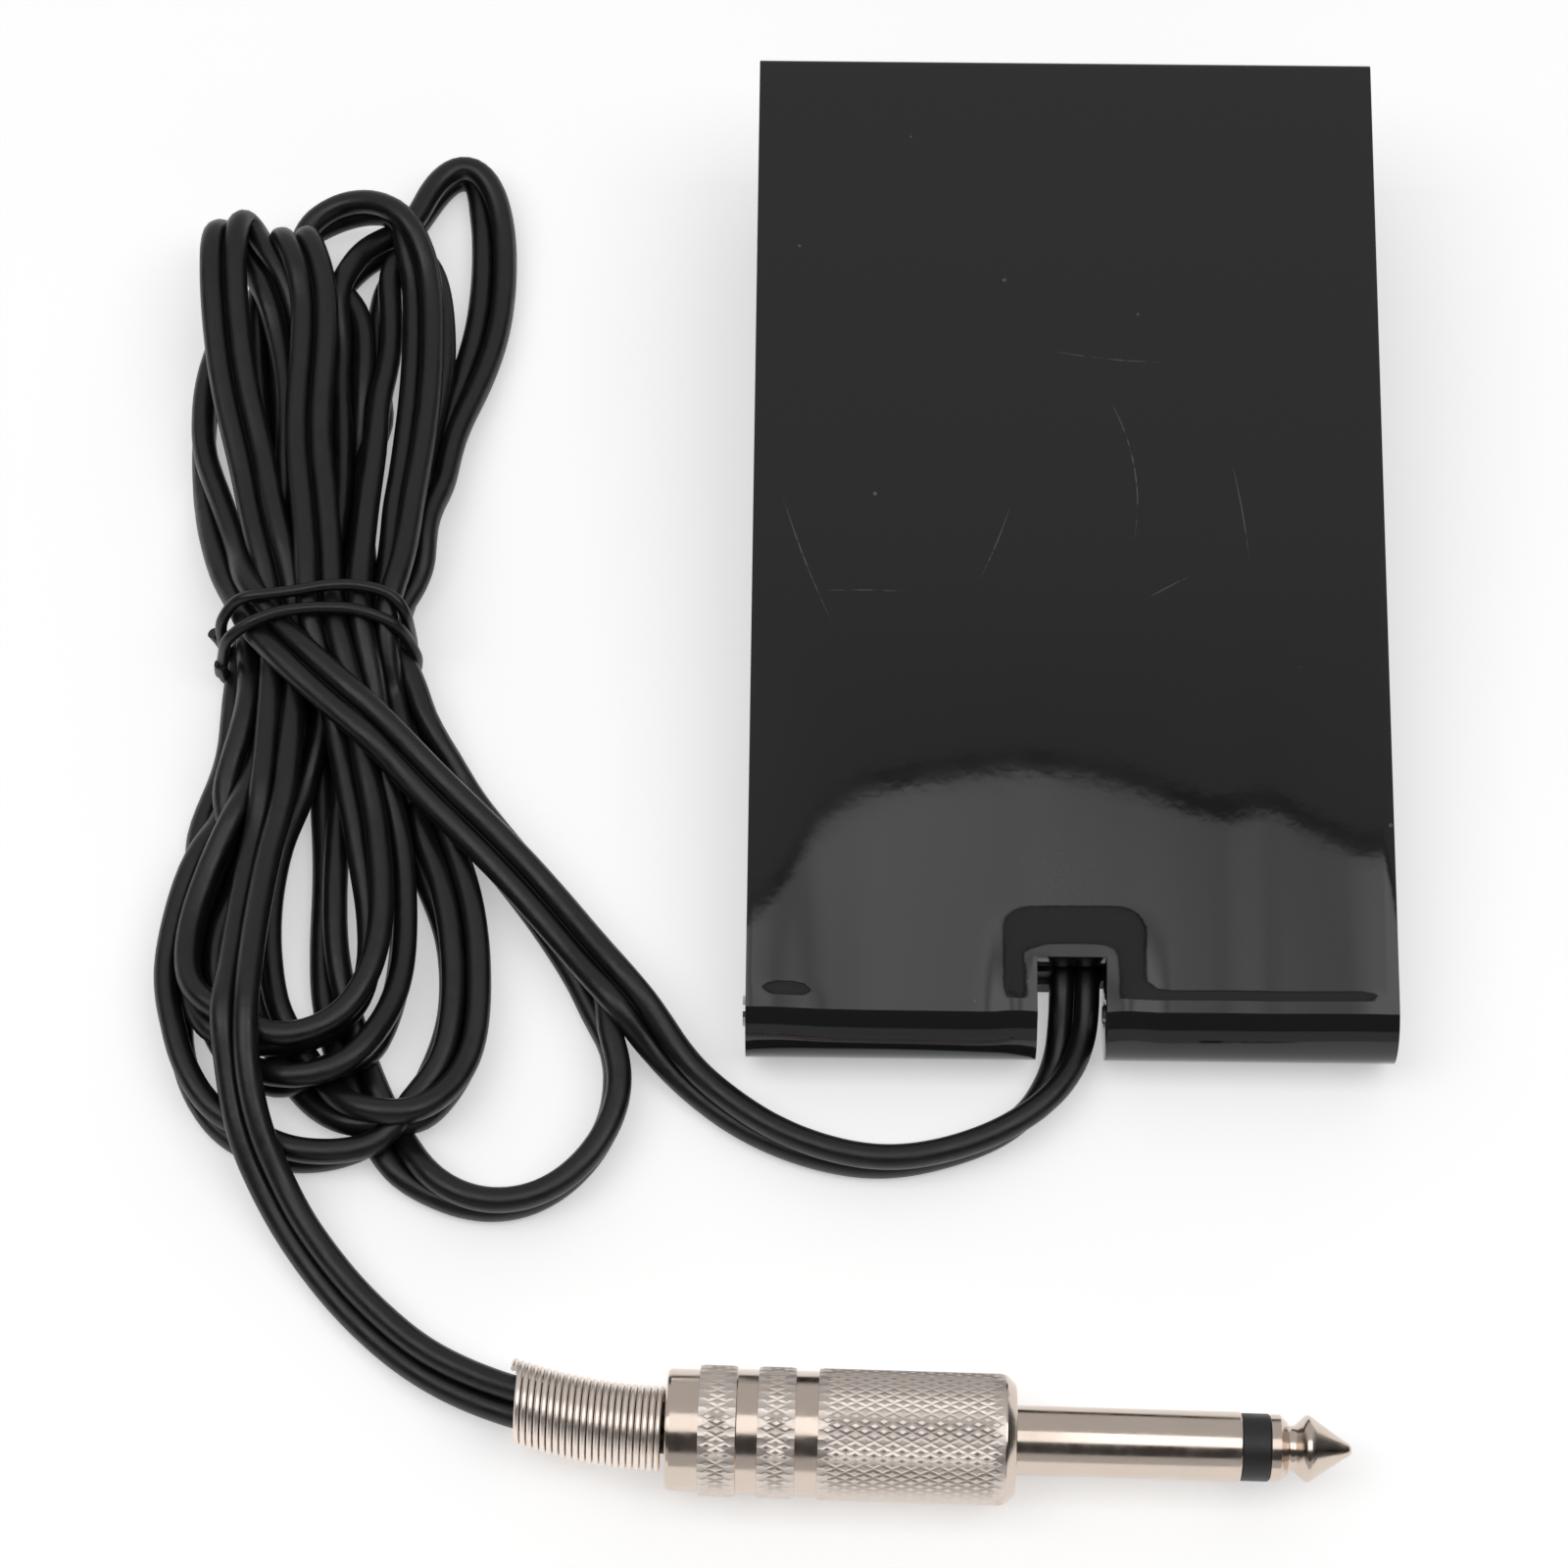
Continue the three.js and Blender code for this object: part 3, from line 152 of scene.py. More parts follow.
# Where each pass crosses the tie, in the order that the cord is wound: (x, height, tilt)
TIE_SLOTS = [
    (-81.0, 7.0, 0), (-71.2, 3.6, 0), (-67.2, 2.6, 85), (-75.8, 3.6, 0),
    (-68.1, 6.9, 80), (-80.6, 1.25, 0), (-71.2, 1.25, 0), (-70.5, 7.1, 85),
    (-75.8, 1.25, 0), (-74.1, 7.8, 0), (-80.6, 3.6, 0), (-77.4, 6.1, 0),
]
WINDING = ["H", "S", "F", "R", "C", "P", "G", "Q2", "B", "Q1", "A"]


def cord_route():
    """The whole cord, from the clamp in the pedal through each loop to the plug."""
    slots = iter(TIE_SLOTS)
    points = list(PEDAL_LEAD)
    for leg in [*(LOOPS[name] for name in WINDING), PLUG_LEAD]:
        x, height, tilt = next(slots)
        points.append((x, TIE_Y, height, tilt))
        points.extend(leg)
    return points


# ---- Settling the cord ----

CORD_WIDTH = 4.9
LOBE_RADIUS = 1.22
LOBE_OFFSET = CORD_WIDTH / 2 - LOBE_RADIUS
WEB_HALF = 0.15
LOBE_SQUARENESS = 2.15  # 2 is a round lobe
NODE_STEP = 1.5
CURVE_SAMPLES = 12000  # the route is drawn this finely before it is cut into even steps
SETTLE_ROUNDS = 260
LINK_PASSES = 3
HOME_PULL = [0.12, 0.12, 0.02]  # how strongly each node is drawn back to its place on the route
WEIGHT = [0, 0, 0.02]  # how far a node sinks in each round
ROLL_PULL = 0.08  # how strongly the cord keeps its drawn tilt
BEND_PULL = 1 / 32  # how strongly it evens out its bends
TOUCH_PUSH = 1.2  # over 1, so that a crowded pile opens up sooner
START_LIFT = 1.5  # the route's heights are drawn apart before the loops settle onto each other
PAIR_ROUNDS = 12  # rounds before the nodes that may touch are looked for again
PAIR_MARGIN = 1.6
NEIGHBOURS = 4  # nodes this close along the cord never count as touching
FLOOR_CLEARANCE = 0.15
HANK_RIGHT = -60  # beside the tie, the whole hank is left of this x
TIE_REACH = 2.6
TIE_WALLS = (-83.4, -65.8)
TIE_ROOF = 9.6


def unit(vectors):
    """Each vector at a length of 1."""
    return vectors / np.maximum(np.linalg.norm(vectors, axis=-1, keepdims=True), 1e-9)


def lengths_along(points):
    """How far along their line each of these points is."""
    return np.concatenate([[0], np.cumsum(np.linalg.norm(np.diff(points, axis=0), axis=1))])


def rows_at(places, known, rows):
    """Rows of numbers read off between the known places."""
    return np.column_stack([np.interp(places, known, column) for column in rows.T])


def resample(points, step):
    """Evenly spaced nodes on a smooth curve through rows of (x, y, z, tilt)."""
    table = np.array(points, float)
    gaps = np.linalg.norm(np.diff(table[:, :3], axis=0), axis=1)
    knots = np.concatenate([[0], np.cumsum(np.sqrt(gaps))])
    ends = np.vstack([2 * table[0] - table[1], table, 2 * table[-1] - table[-2]])
    end_knots = np.concatenate([[-knots[1]], knots, [2 * knots[-1] - knots[-2]]])
    slopes = (ends[2:] - ends[:-2]) / (end_knots[2:] - end_knots[:-2])[:, None]
    fine = np.linspace(0, knots[-1], CURVE_SAMPLES)
    at = np.clip(np.searchsorted(knots, fine, side="right") - 1, 0, len(knots) - 2)
    span = (knots[at + 1] - knots[at])[:, None]
    u = (fine - knots[at])[:, None] / span
    curve = (
        (2 * u**3 - 3 * u**2 + 1) * table[at]
        + (u**3 - 2 * u**2 + u) * span * slopes[at]
        + (3 * u**2 - 2 * u**3) * table[at + 1]
        + (u**3 - u**2) * span * slopes[at + 1]
    )
    arc = lengths_along(curve[:, :3])
    even = np.linspace(0, arc[-1], int(round(arc[-1] / step)) + 1)
    return rows_at(even, arc, curve)


def width_directions(nodes, tilt):
    """The direction across the flat cord at each node, turning smoothly along it.

    In the hank a tilt is told from the X axis, so that the cord rolls onto its edge through a bend.
    On the plug's lead it is told from the level direction square to the cord.
    """
    tangents = unit(np.gradient(nodes, axis=0))
    hints = np.column_stack([np.cos(tilt), np.zeros(len(tilt)), np.sin(tilt)])
    above_tie = (nodes[:, 1] > TIE_Y) & (nodes[:, 0] < HANK_RIGHT)
    lead = np.arange(len(nodes)) > np.nonzero(above_tie)[0][-1]
    level = unit(np.cross([0, 0, 1], tangents[lead]))
    hints[lead] = level * np.cos(tilt[lead])[:, None] + [0, 0, 1] * np.sin(tilt[lead])[:, None]
    across = unit(hints - (hints * tangents).sum(1, keepdims=True) * tangents)
    for i in range(1, len(across)):
        if across[i] @ across[i - 1] < 0:
            across[i] *= -1
    return across


def close_pairs(lobes, count, reach):
    """Pairs of nodes within reach that aren't neighbours along the cord."""
    node = np.tile(np.arange(count), 2)
    a, b = np.nonzero(((lobes[:, None] - lobes[None]) ** 2).sum(-1) < reach**2)
    apart = (a < b) & (np.abs(node[a] - node[b]) > NEIGHBOURS)
    return a[apart], b[apart]


def cord_links(count):
    """What a flat cord keeps: (nodes, other nodes, distance, share of a gap that each end makes up)."""
    node = np.arange(count)
    links = [(node, node + count, 2 * LOBE_OFFSET, 0.5)]
    slant = math.hypot(NODE_STEP, 2 * LOBE_OFFSET)
    for parity in (0, 1):
        i = node[parity:-1:2]
        lobes = np.concatenate([i, i + count])
        links.append((lobes, lobes + 1, NODE_STEP, 0.5))
        links.append((i, i + 1 + count, slant, 0.25))
        links.append((i + 1, i + count, slant, 0.25))
    return links


def push_apart(lobes, pairs, free):
    """Moves lobes that overlap away from each other."""
    a, b = pairs
    gap = lobes[b] - lobes[a]
    length = np.linalg.norm(gap, axis=1)
    hit = length < 2 * LOBE_RADIUS
    a, b, gap, length = a[hit], b[hit], gap[hit], length[hit]
    push = gap * (LOBE_RADIUS / np.maximum(length, 1e-6) - 0.5)[:, None]
    moves = np.zeros_like(lobes)
    times = np.zeros(len(lobes))
    np.add.at(moves, a, -push)
    np.add.at(moves, b, push)
    np.add.at(times, a, 1)
    np.add.at(times, b, 1)
    lobes += TOUCH_PUSH * moves / np.maximum(times, 1)[:, None] * free


def even_bends(lobes, free):
    """Straightens each lobe a little, as its stiffness does."""
    count = len(lobes) // 2
    for half in (slice(0, count), slice(count, 2 * count)):
        lobe = lobes[half]
        bend = np.zeros_like(lobe)
        bend[2:-2] = -lobe[:-4] + 4 * lobe[1:-3] - 6 * lobe[2:-2] + 4 * lobe[3:-1] - lobe[4:]
        lobes[half] = lobe + bend * BEND_PULL * free[:count]


def keep_links(lobes, links, free):
    """Moves linked nodes towards the distance that they keep."""
    for a, b, rest, share in links:
        gap = lobes[b] - lobes[a]
        length = np.linalg.norm(gap, axis=1, keepdims=True)
        push = gap * (1 - rest / np.maximum(length, 1e-6)) * share
        lobes[a] += push * free[a]
        lobes[b] -= push * free[b]


def keep_inside(lobes, free):
    """Keeps the free nodes above the floor, and the hank's waist inside the tie."""
    floor = np.maximum(lobes[:, 2], LOBE_RADIUS + FLOOR_CLEARANCE)
    lobes[:, 2] = np.where(free[:, 0] > 0, floor, lobes[:, 2])
    waist = (np.abs(lobes[:, 1] - TIE_Y) < TIE_REACH) & (lobes[:, 0] < HANK_RIGHT)
    left, right = TIE_WALLS
    lobes[waist, 0] = np.clip(lobes[waist, 0], left + LOBE_RADIUS, right - LOBE_RADIUS)
    lobes[waist, 2] = np.minimum(lobes[waist, 2], TIE_ROOF - LOBE_RADIUS)


def settle_cord():
    """The two lobes' centre lines after the drawn route has settled under its weight."""
    route = resample(cord_route(), NODE_STEP)
    home, tilt = route[:, :3], np.radians(route[:, 3])
    count = len(home)
    in_pedal = (home[:, 0] > -1.2) & (home[:, 1] > -45)
    at_plug = (home[:, 0] > -50) & (home[:, 1] < -80)
    held = in_pedal | at_plug
    start = home.copy()
    start[~held, 2] = LOBE_RADIUS + (home[~held, 2] - LOBE_RADIUS) * START_LIFT
    across = width_directions(home, tilt) * LOBE_OFFSET
    lobes = np.concatenate([start + across, start - across])
    free = np.tile(~held, 2).astype(float)[:, None]
    links = cord_links(count)
    for k in range(SETTLE_ROUNDS):
        middle = (lobes[:count] + lobes[count:]) / 2
        pull = (home - middle) * HOME_PULL - WEIGHT
        lobes += np.tile(pull, (2, 1)) * free
        roll = across - (lobes[:count] - lobes[count:]) / 2
        lobes += np.concatenate([roll, -roll]) * ROLL_PULL * free
        even_bends(lobes, free)
        if k % PAIR_ROUNDS == 0:
            pairs = close_pairs(lobes, count, 2 * LOBE_RADIUS + PAIR_MARGIN)
        for _ in range(LINK_PASSES):
            keep_links(lobes, links, free)
            push_apart(lobes, pairs, free)
            keep_inside(lobes, free)
    return lobes[:count], lobes[count:]


# ---- Mesh helpers ----


def mesh_object(name, vertices, faces):
    """A mesh object from vertices in millimetres."""
    mesh = bpy.data.meshes.new(name)
    mesh.from_pydata([tuple(v) for v in np.asarray(vertices, float) * MM], [], faces)
    mesh.validate()
    piece = bpy.data.objects.new(name, mesh)
    bpy.context.scene.collection.objects.link(piece)
    return piece


def join_rings(faces, low, high):
    """Faces between two rings of vertices, one of which may be a single point."""
    sides = max(len(low), len(high))
    for i in range(sides):
        j = (i + 1) % sides
        corners = [low[i % len(low)], low[j % len(low)], high[j % len(high)], high[i % len(high)]]
        faces.append(tuple(dict.fromkeys(corners)))


def swept_mesh(name, rings):
    """A tube with closed ends through rings of points, all with the same count."""
    count, sides = rings.shape[:2]
    rows = np.arange(count * sides).reshape(count, sides).tolist()
    faces = []
    for low, high in zip(rows, rows[1:]):
        join_rings(faces, high, low)
    faces += [tuple(rows[0]), tuple(reversed(rows[-1]))]
    return mesh_object(name, rings.reshape(-1, 3), faces)


def twin_section(sides):
    """The figure-of-eight outline of the cord: (across, out) of each point round it."""
    power = 2 / LOBE_SQUARENESS
    start = math.pi - math.asin((WEB_HALF / LOBE_RADIUS) ** (1 / power))
    angles = np.linspace(-start, start, sides)
    across = np.sign(np.cos(angles)) * np.abs(np.cos(angles)) ** power
    out = np.sign(np.sin(angles)) * np.abs(np.sin(angles)) ** power
    right = np.column_stack([LOBE_OFFSET + LOBE_RADIUS * across, LOBE_RADIUS * out])
    return np.concatenate([right, -right])


def smoothed(rows, rounds):
    """Rows of numbers evened out along their line, with both ends kept."""
    for _ in range(rounds):
        rows = np.concatenate([rows[:1], (rows[:-2] + 2 * rows[1:-1] + rows[2:]) / 4, rows[-1:]])
    return rows


def frames_along(line):
    """Two unit directions square to a line at each point, without twist. The line starts out level."""
    tangents = unit(np.gradient(line, axis=0))
    side = np.array([0, 0, 1])
    sides = []
    for tangent in tangents:
        side = unit(side - (side @ tangent) * tangent)
        sides.append(side)
    return np.array(sides), np.cross(tangents, sides)


def round_tube(name, line, radius, sides):
    """A wire along a line."""
    line = np.asarray(line, float)
    u, v = frames_along(line)
    angles = np.arange(sides) * 2 * math.pi / sides
    ring = [line + radius * (math.cos(a) * u + math.sin(a) * v) for a in angles]
    return swept_mesh(name, np.transpose(np.array(ring), (1, 0, 2)))


def sharpen(piece, degrees=32):
    """Smooth shading that breaks at edges sharper than this."""
    piece.data.polygons.foreach_set("use_smooth", [True] * len(piece.data.polygons))
    piece.data.set_sharp_from_angle(angle=math.radians(degrees))
    piece.data.update()
    return piece


# ---- Cord ----

LOBE_SIDES = 17


def add_cord():
    """The flat twin-core cord swept along the settled lobes, its centre line and its lobes."""
    lobe_a, lobe_b = settle_cord()
    middle = smoothed((lobe_a + lobe_b) / 2, 2)
    across = unit(smoothed(lobe_a - lobe_b, 3))
    node = np.arange(len(middle))
    dense = np.linspace(0, len(middle) - 1, 2 * len(middle) - 1)
    middle = smoothed(rows_at(dense, node, middle), 2)
    across = rows_at(dense, node, across)
    tangents = unit(np.gradient(middle, axis=0))
    across = unit(across - (across * tangents).sum(1, keepdims=True) * tangents)
    out = np.cross(tangents, across)
    rings = [middle + across * u + out * v for u, v in twin_section(LOBE_SIDES)]
    piece = swept_mesh("twin_cord", np.transpose(np.array(rings), (1, 0, 2)))
    return sharpen(piece, 40), middle, np.concatenate([lobe_a, lobe_b])


# ---- Tie ----

TIE_WIRE_RADIUS = 0.6
TIE_FLOOR_GAP = 0.05
TIE_STEPS = 96  # points round each turn
TIE_AROUND = 24  # points round each lobe that the wire may lie on
TIE_SLICE = 1.4  # a turn is drawn tight round the lobes this near to it
# The way each turn leans over the top of the hank: (share of the way across, y)
TIE_TURNS = [
    [(0, -6.4), (0.08, -5), (0.2, -4.8), (0.42, -4.2), (0.55, -3.6), (0.7, -3.4), (0.87, -3.8),
     (0.95, -4.6), (1, -6)],
    [(0, -9.6), (0.05, -9), (0.18, -7.8), (0.34, -6.5), (0.5, -6), (0.67, -5.9), (0.84, -6.6),
     (0.95, -7.4), (1, -8.4)],
]
# The wire's cut end, standing out from the left of the waist
TIE_STUB = [(-83.9, -6.4, 2.6), (-84.4, -6.2, 3.2), (-85, -6, 4.2)]
TIE_HIDDEN = 16  # points that lead into the first turn, under the hank
TIE_HIDDEN_RISE = 1.8  # how far they run along Y


def hull(points):
    """The outline round flat points, anticlockwise."""
    points = sorted(map(tuple, points))

    def chain(ordered):
        kept = []
        for p in ordered:
            while len(kept) > 1 and (
                (kept[-1][0] - kept[-2][0]) * (p[1] - kept[-2][1])
                <= (kept[-1][1] - kept[-2][1]) * (p[0] - kept[-2][0])
            ):
                kept.pop()
            kept.append(p)
        return kept[:-1]

    return np.array(chain(points) + chain(points[::-1]))


def waist_outline(lobes, y, clearance):
    """The closed outline of a wire tight round the lobes near this y, clockwise from its left end."""
    near = lobes[(np.abs(lobes[:, 1] - y) < TIE_SLICE) & (lobes[:, 0] < HANK_RIGHT)][:, [0, 2]]
    angles = np.arange(TIE_AROUND) * 2 * math.pi / TIE_AROUND
    around = np.column_stack([np.cos(angles), np.sin(angles)]) * clearance
    outline = hull((near[:, None] + around[None]).reshape(-1, 2))[::-1]
    outline = np.roll(outline, -int(outline[:, 0].argmin()), axis=0)
    closed = np.vstack([outline, outline[:1]])
    arc = lengths_along(closed)
    return rows_at(np.linspace(0, arc[-1], TIE_STEPS + 1), arc, closed)


def add_tie(lobes):
    """The wire wound twice round the waist of the hank, with its cut end sticking out at the left."""
    clearance = LOBE_RADIUS + TIE_WIRE_RADIUS
    low = TIE_WIRE_RADIUS + TIE_FLOOR_GAP
    line = []
    ends = [TIE_TURNS[1][0][1], TIE_STUB[0][1]]
    for turn, end_y in zip(TIE_TURNS, ends):
        shares, ys = zip(*turn)
        outline = waist_outline(lobes, sum(ys) / len(ys), clearance)
        left, right = outline[:, 0].min(), outline[:, 0].max()
        far = int(outline[:, 0].argmax())
        if not line:
            hidden = outline[-TIE_HIDDEN:-1]
            rise = np.linspace(ys[0] - TIE_HIDDEN_RISE, ys[0], len(hidden) + 1)
            line = [(x, y, max(z, low)) for (x, z), y in zip(hidden, rise)]
        for i, (x, z) in enumerate(outline[:-1]):
            share = (x - left) / (right - left)
            y = np.interp(share, shares, ys) if i <= far else end_y + (ys[-1] - end_y) * share
            line.append((x, y, max(z, low)))
    line = smoothed(np.array(line + TIE_STUB), 3)
    return sharpen(round_tube("tie", line, TIE_WIRE_RADIUS, sides=14), 50)


# ---- Jack plug ----

PLUG_FACE = np.array([-5.6, -88.9, 6.1])
PLUG_TURN = math.radians(-1.13)
PLUG_AXIS = np.array([math.cos(PLUG_TURN), math.sin(PLUG_TURN), 0])
PLUG_SIDE = np.array([-math.sin(PLUG_TURN), math.cos(PLUG_TURN), 0])
DOWN = np.array([0, 0, -1])
DIAMONDS_ROUND = 42
DIAMOND_HALF = 0.85
DIAMOND_FLAT = 0.42  # how much of each diamond is left flat on top
KNURL_TOP = 6.05
KNURL_VALLEY = 5.89
GROOVE_RADIUS = 5.7
TURNED_SIDES = 84


def on_plug(points):
    """Points from the plug's own frame, whose z runs from the barrel's face to the tip."""
    points = np.asarray(points, float)
    return PLUG_FACE + points @ np.array([DOWN, PLUG_SIDE, PLUG_AXIS])


def ring_points(radius, z, sides):
    """Points round the plug's axis, the first half a side from its X axis."""
    angles = (np.arange(sides) + 0.5) * 2 * math.pi / sides
    return np.column_stack([radius * np.cos(angles), radius * np.sin(angles), np.full(sides, z)])


def turned(name, profile, closed=False):
    """A turned piece on the plug from (radius, z) rows; a radius of 0 closes an end."""
    vertices, faces, rows = [], [], []
    for radius, z in profile:
        ring = ring_points(radius, z, TURNED_SIDES) if radius else [(0, 0, z)]
        rows.append(range(len(vertices), len(vertices) + len(ring)))
        vertices.extend(ring)
    pairs = list(zip(rows, rows[1:] + rows[:1])) if closed else list(zip(rows, rows[1:]))
    for low, high in pairs:
        join_rings(faces, low, high)
    return sharpen(mesh_object(name, on_plug(vertices), faces))


def add_diamond(vertices, faces, base, centre):
    """A flat-topped diamond on four vertices in the valleys round it."""
    top = []
    for b in base:
        top.append(len(vertices))
        vertices.append(tuple(centre + DIAMOND_FLAT * (np.array(vertices[b]) - centre)))
    join_rings(faces, base, top)
    faces.append(tuple(top))


def add_knurl(vertices, faces, first, last, z0, z1):
    """Flat-topped diamonds between two rings of vertices that are already there."""
    rows = int(round(abs(z1 - z0) / DIAMOND_HALF))
    rows += rows % 2
    corners = {}

    def place(radius, row, half):
        angle = half * math.pi / DIAMONDS_ROUND
        return (radius * math.cos(angle), radius * math.sin(angle), z0 + (z1 - z0) * row / rows)

    def valley(row, half):
        """The valley vertex at this row and this number of half diamonds round."""
        half %= 2 * DIAMONDS_ROUND
        if row == 0:
            return first[(half - 1) // 2]
        if row == rows:
            return last[(half - 1) // 2]
        if (row, half) not in corners:
            corners[row, half] = len(vertices)
            vertices.append(place(KNURL_VALLEY, row, half))
        return corners[row, half]

    for row in range(rows + 1):
        for n in range(DIAMONDS_ROUND):
            middle = 2 * n + row % 2
            left, right = valley(row, middle - 1), valley(row, middle + 1)
            if row == 0:
                faces.append((left, right, valley(1, middle)))
            elif row == rows:
                faces.append((right, left, valley(rows - 1, middle)))
            else:
                base = [left, valley(row - 1, middle), right, valley(row + 1, middle)]
                add_diamond(vertices, faces, base, np.array(place(KNURL_TOP, row, middle)))


# The barrel's outline from its front face to its rear and back through its bore: (radius, z)
BARREL_PROFILE = [
    (3.6, -0.05), (4.95, -0.05), (5.1, -0.12), (5.72, -0.75), (5.86, -0.95), (KNURL_VALLEY, -1.1),
    (KNURL_VALLEY, -18.1), (GROOVE_RADIUS, -18.15), (GROOVE_RADIUS, -20.15), (KNURL_VALLEY, -20.2),
    (KNURL_VALLEY, -23.6), (GROOVE_RADIUS, -23.65), (GROOVE_RADIUS, -25.5), (KNURL_VALLEY, -25.6),
    (KNURL_VALLEY, -29), (5.55, -29.05), (5.55, -31.6), (5.45, -31.85), (5.2, -32), (3.5, -32),
    (3.4, -31.9), (3.4, -30), (4.9, -29), (4.9, -1.2), (3.6, -1.2),
]
KNURL_STARTS = (-1.1, -20.2, -25.6)  # where on it a knurled band starts


def add_barrel():
    """The barrel, whose knurled bands take its second material."""
    vertices, faces, rows, knurled = [], [], [], []
    for radius, z in BARREL_PROFILE:
        rows.append(range(len(vertices), len(vertices) + DIAMONDS_ROUND))
        vertices.extend(map(tuple, ring_points(radius, z, DIAMONDS_ROUND)))
    heights = [z for _, z in BARREL_PROFILE]
    for low, high, z0, z1 in zip(rows, rows[1:] + rows[:1], heights, heights[1:] + heights[:1]):
        if z0 in KNURL_STARTS:
            add_knurl(vertices, faces, low, high, z0, z1)
        else:
            join_rings(faces, low, high)
        knurled += [int(z0 in KNURL_STARTS)] * (len(faces) - len(knurled))
    piece = mesh_object("barrel", on_plug(vertices), faces)
    piece.data.polygons.foreach_set("material_index", knurled)
    return sharpen(outward(piece), 20)


def outward(piece):
    """Turns the faces of a closed mesh outwards."""
    shape = bmesh.new()
    shape.from_mesh(piece.data)
    bmesh.ops.recalc_face_normals(shape, faces=shape.faces)
    if shape.calc_volume(signed=True) < 0:
        bmesh.ops.reverse_faces(shape, faces=shape.faces)
    shape.to_mesh(piece.data)
    shape.free()
    return piece


# The turned pieces' outlines: (radius, z)
SLEEVE_PROFILE = [
    (2, -6.4), (4.5, -6.4), (4.5, -1.6), (3.6, -1.5), (3.175, -1.3),
    (3.175, 20.35), (3.1, 20.5), (2, 20.5),
]
INSULATOR_PROFILE = [(1, 20.52), (3, 20.52), (3.08, 20.6), (3.08, 23.0), (3, 23.08), (1, 23.08)]
TIP_PROFILE = [
    (0, -8.4), (0.7, -8.4), (0.7, 23.1), (2.95, 23.1), (3.05, 23.2), (3.05, 24.05), (2.9, 24.2),
    (2.35, 24.75), (2.15, 24.8), (2.05, 25), (2.05, 25.3), (2.2, 25.55), (2.75, 26.1), (3.02, 26.4),
    (3.08, 26.6), (3.02, 26.85), (2.7, 27.3), (1.5, 29), (0.85, 29.95), (0.62, 30.4), (0.35, 30.65),
    (0, 30.75),
]

RELIEF_FRONT = -32.05
RELIEF_RADIUS = 3.65
RELIEF_WIRE = 0.285
RELIEF_PITCH = 0.62
RELIEF_TURNS = 22.4
RELIEF_LENGTH = 14.2
RELIEF_DROP = 1.4
RELIEF_SWING = 2.7
RELIEF_STEPS = 30  # points in each turn


def add_relief():
    """The close-wound coil round the cord behind the barrel, whose rear end bends away with it."""
    steps = int(RELIEF_TURNS * RELIEF_STEPS)
    line = []
    for i in range(steps + 1):
        angle = 2 * math.pi * i / RELIEF_STEPS
        along = RELIEF_WIRE + RELIEF_PITCH * i / RELIEF_STEPS
        bend = (along / RELIEF_LENGTH) ** 2
        line.append((
            RELIEF_RADIUS * math.cos(angle) + RELIEF_DROP * bend,
            RELIEF_RADIUS * math.sin(angle) + RELIEF_SWING * bend,
            RELIEF_FRONT - along,
        ))
    return sharpen(round_tube("strain_relief", on_plug(line), RELIEF_WIRE, sides=8), 60)


# ---- Return spring ----

SPRING_Y = 22
SPRING_RADIUS = 4.5
SPRING_WIRE = 0.5
SPRING_LOW = 3.5
SPRING_HIGH = 15.4
SPRING_TURNS = 6.5
SPRING_STEPS = 36  # points in each turn
SPRING_RISE = [(0, 0), (0.13, 0.06), (0.87, 0.94), (1, 1)]  # (share of its turns, share of its height)


def add_return_spring():
    """The compression spring, with its end turns closed."""
    steps = int(SPRING_TURNS * SPRING_STEPS)
    line = []
    for i in range(steps + 1):
        share = i / steps
        rise = np.interp(share, *zip(*SPRING_RISE))
        angle = 2 * math.pi * SPRING_TURNS * share
        line.append((
            SPRING_RADIUS * math.cos(angle),
            SPRING_Y + SPRING_RADIUS * math.sin(angle),
            SPRING_LOW + (SPRING_HIGH - SPRING_LOW) * rise,
        ))
    return sharpen(round_tube("return_coil", line, SPRING_WIRE, sides=12), 60)


# ---- Treadle ----

# The moulding's slight warp, as slopes along Y in thousandths: (x, slope) across the hinge end
WARP_SLOPES = [
    (-31, -19), (-28.4, -15), (-24.8, -3.1), (-20, 2.8), (-15.4, 4.3), (-9.9, 6), (-4.8, 7.2), (1.6, 6),
    (5.9, 4), (10.1, 1), (14.4, -1.3), (18.7, 1), (22.9, -3.4), (27.2, -6.9), (31, -5.9),
]
# Where along Y that warp grows and fades
WARP_REACH = [(-50, 0), (-46, 0), (-40, 1), (-22, 1), (-8, 0), (60, 0)]
# Sunk places by the hinge: slope in thousandths, and (x from, x to, y from, y to, corner, softness)
SINKS = [
    (-42, (-7.8, 8, -49, -36.9, 3.4, 1.6)),
    (-50, (5, 30, -47.5, -45.4, 0.9, 0.8)),
    (-56, (-30, -24, -47.4, -45.2, 1, 0.8)),
]
NOTCH_RIM = (-4, 4, -52, -41.5, 0.8, 0.4)  # stays level round the cord's notch
WARP_STEP = 0.25
WARP_HALF_X, WARP_HALF_Y = 32, 53
# The warp is only in the plate: it fades out between these heights over the hinge, square to the plate
WARP_FROM, WARP_FULL = 1.6, 3.2
# The hinge's axis and the plate's slope at rest, as in the CAD
HINGE_Y, HINGE_Z = -46.6, 5.4
PLATE_SLOPE = math.radians(7.2)
TREADLE_EDGE = 0.45
# Cuts that let the plate bend, finer by the hinge: (axis, from, to, step)
TREADLE_CUTS = [(0, -30.2, 30.3, 1.2), (1, -48, -24, 0.6), (1, -24, 50, 2.0)]


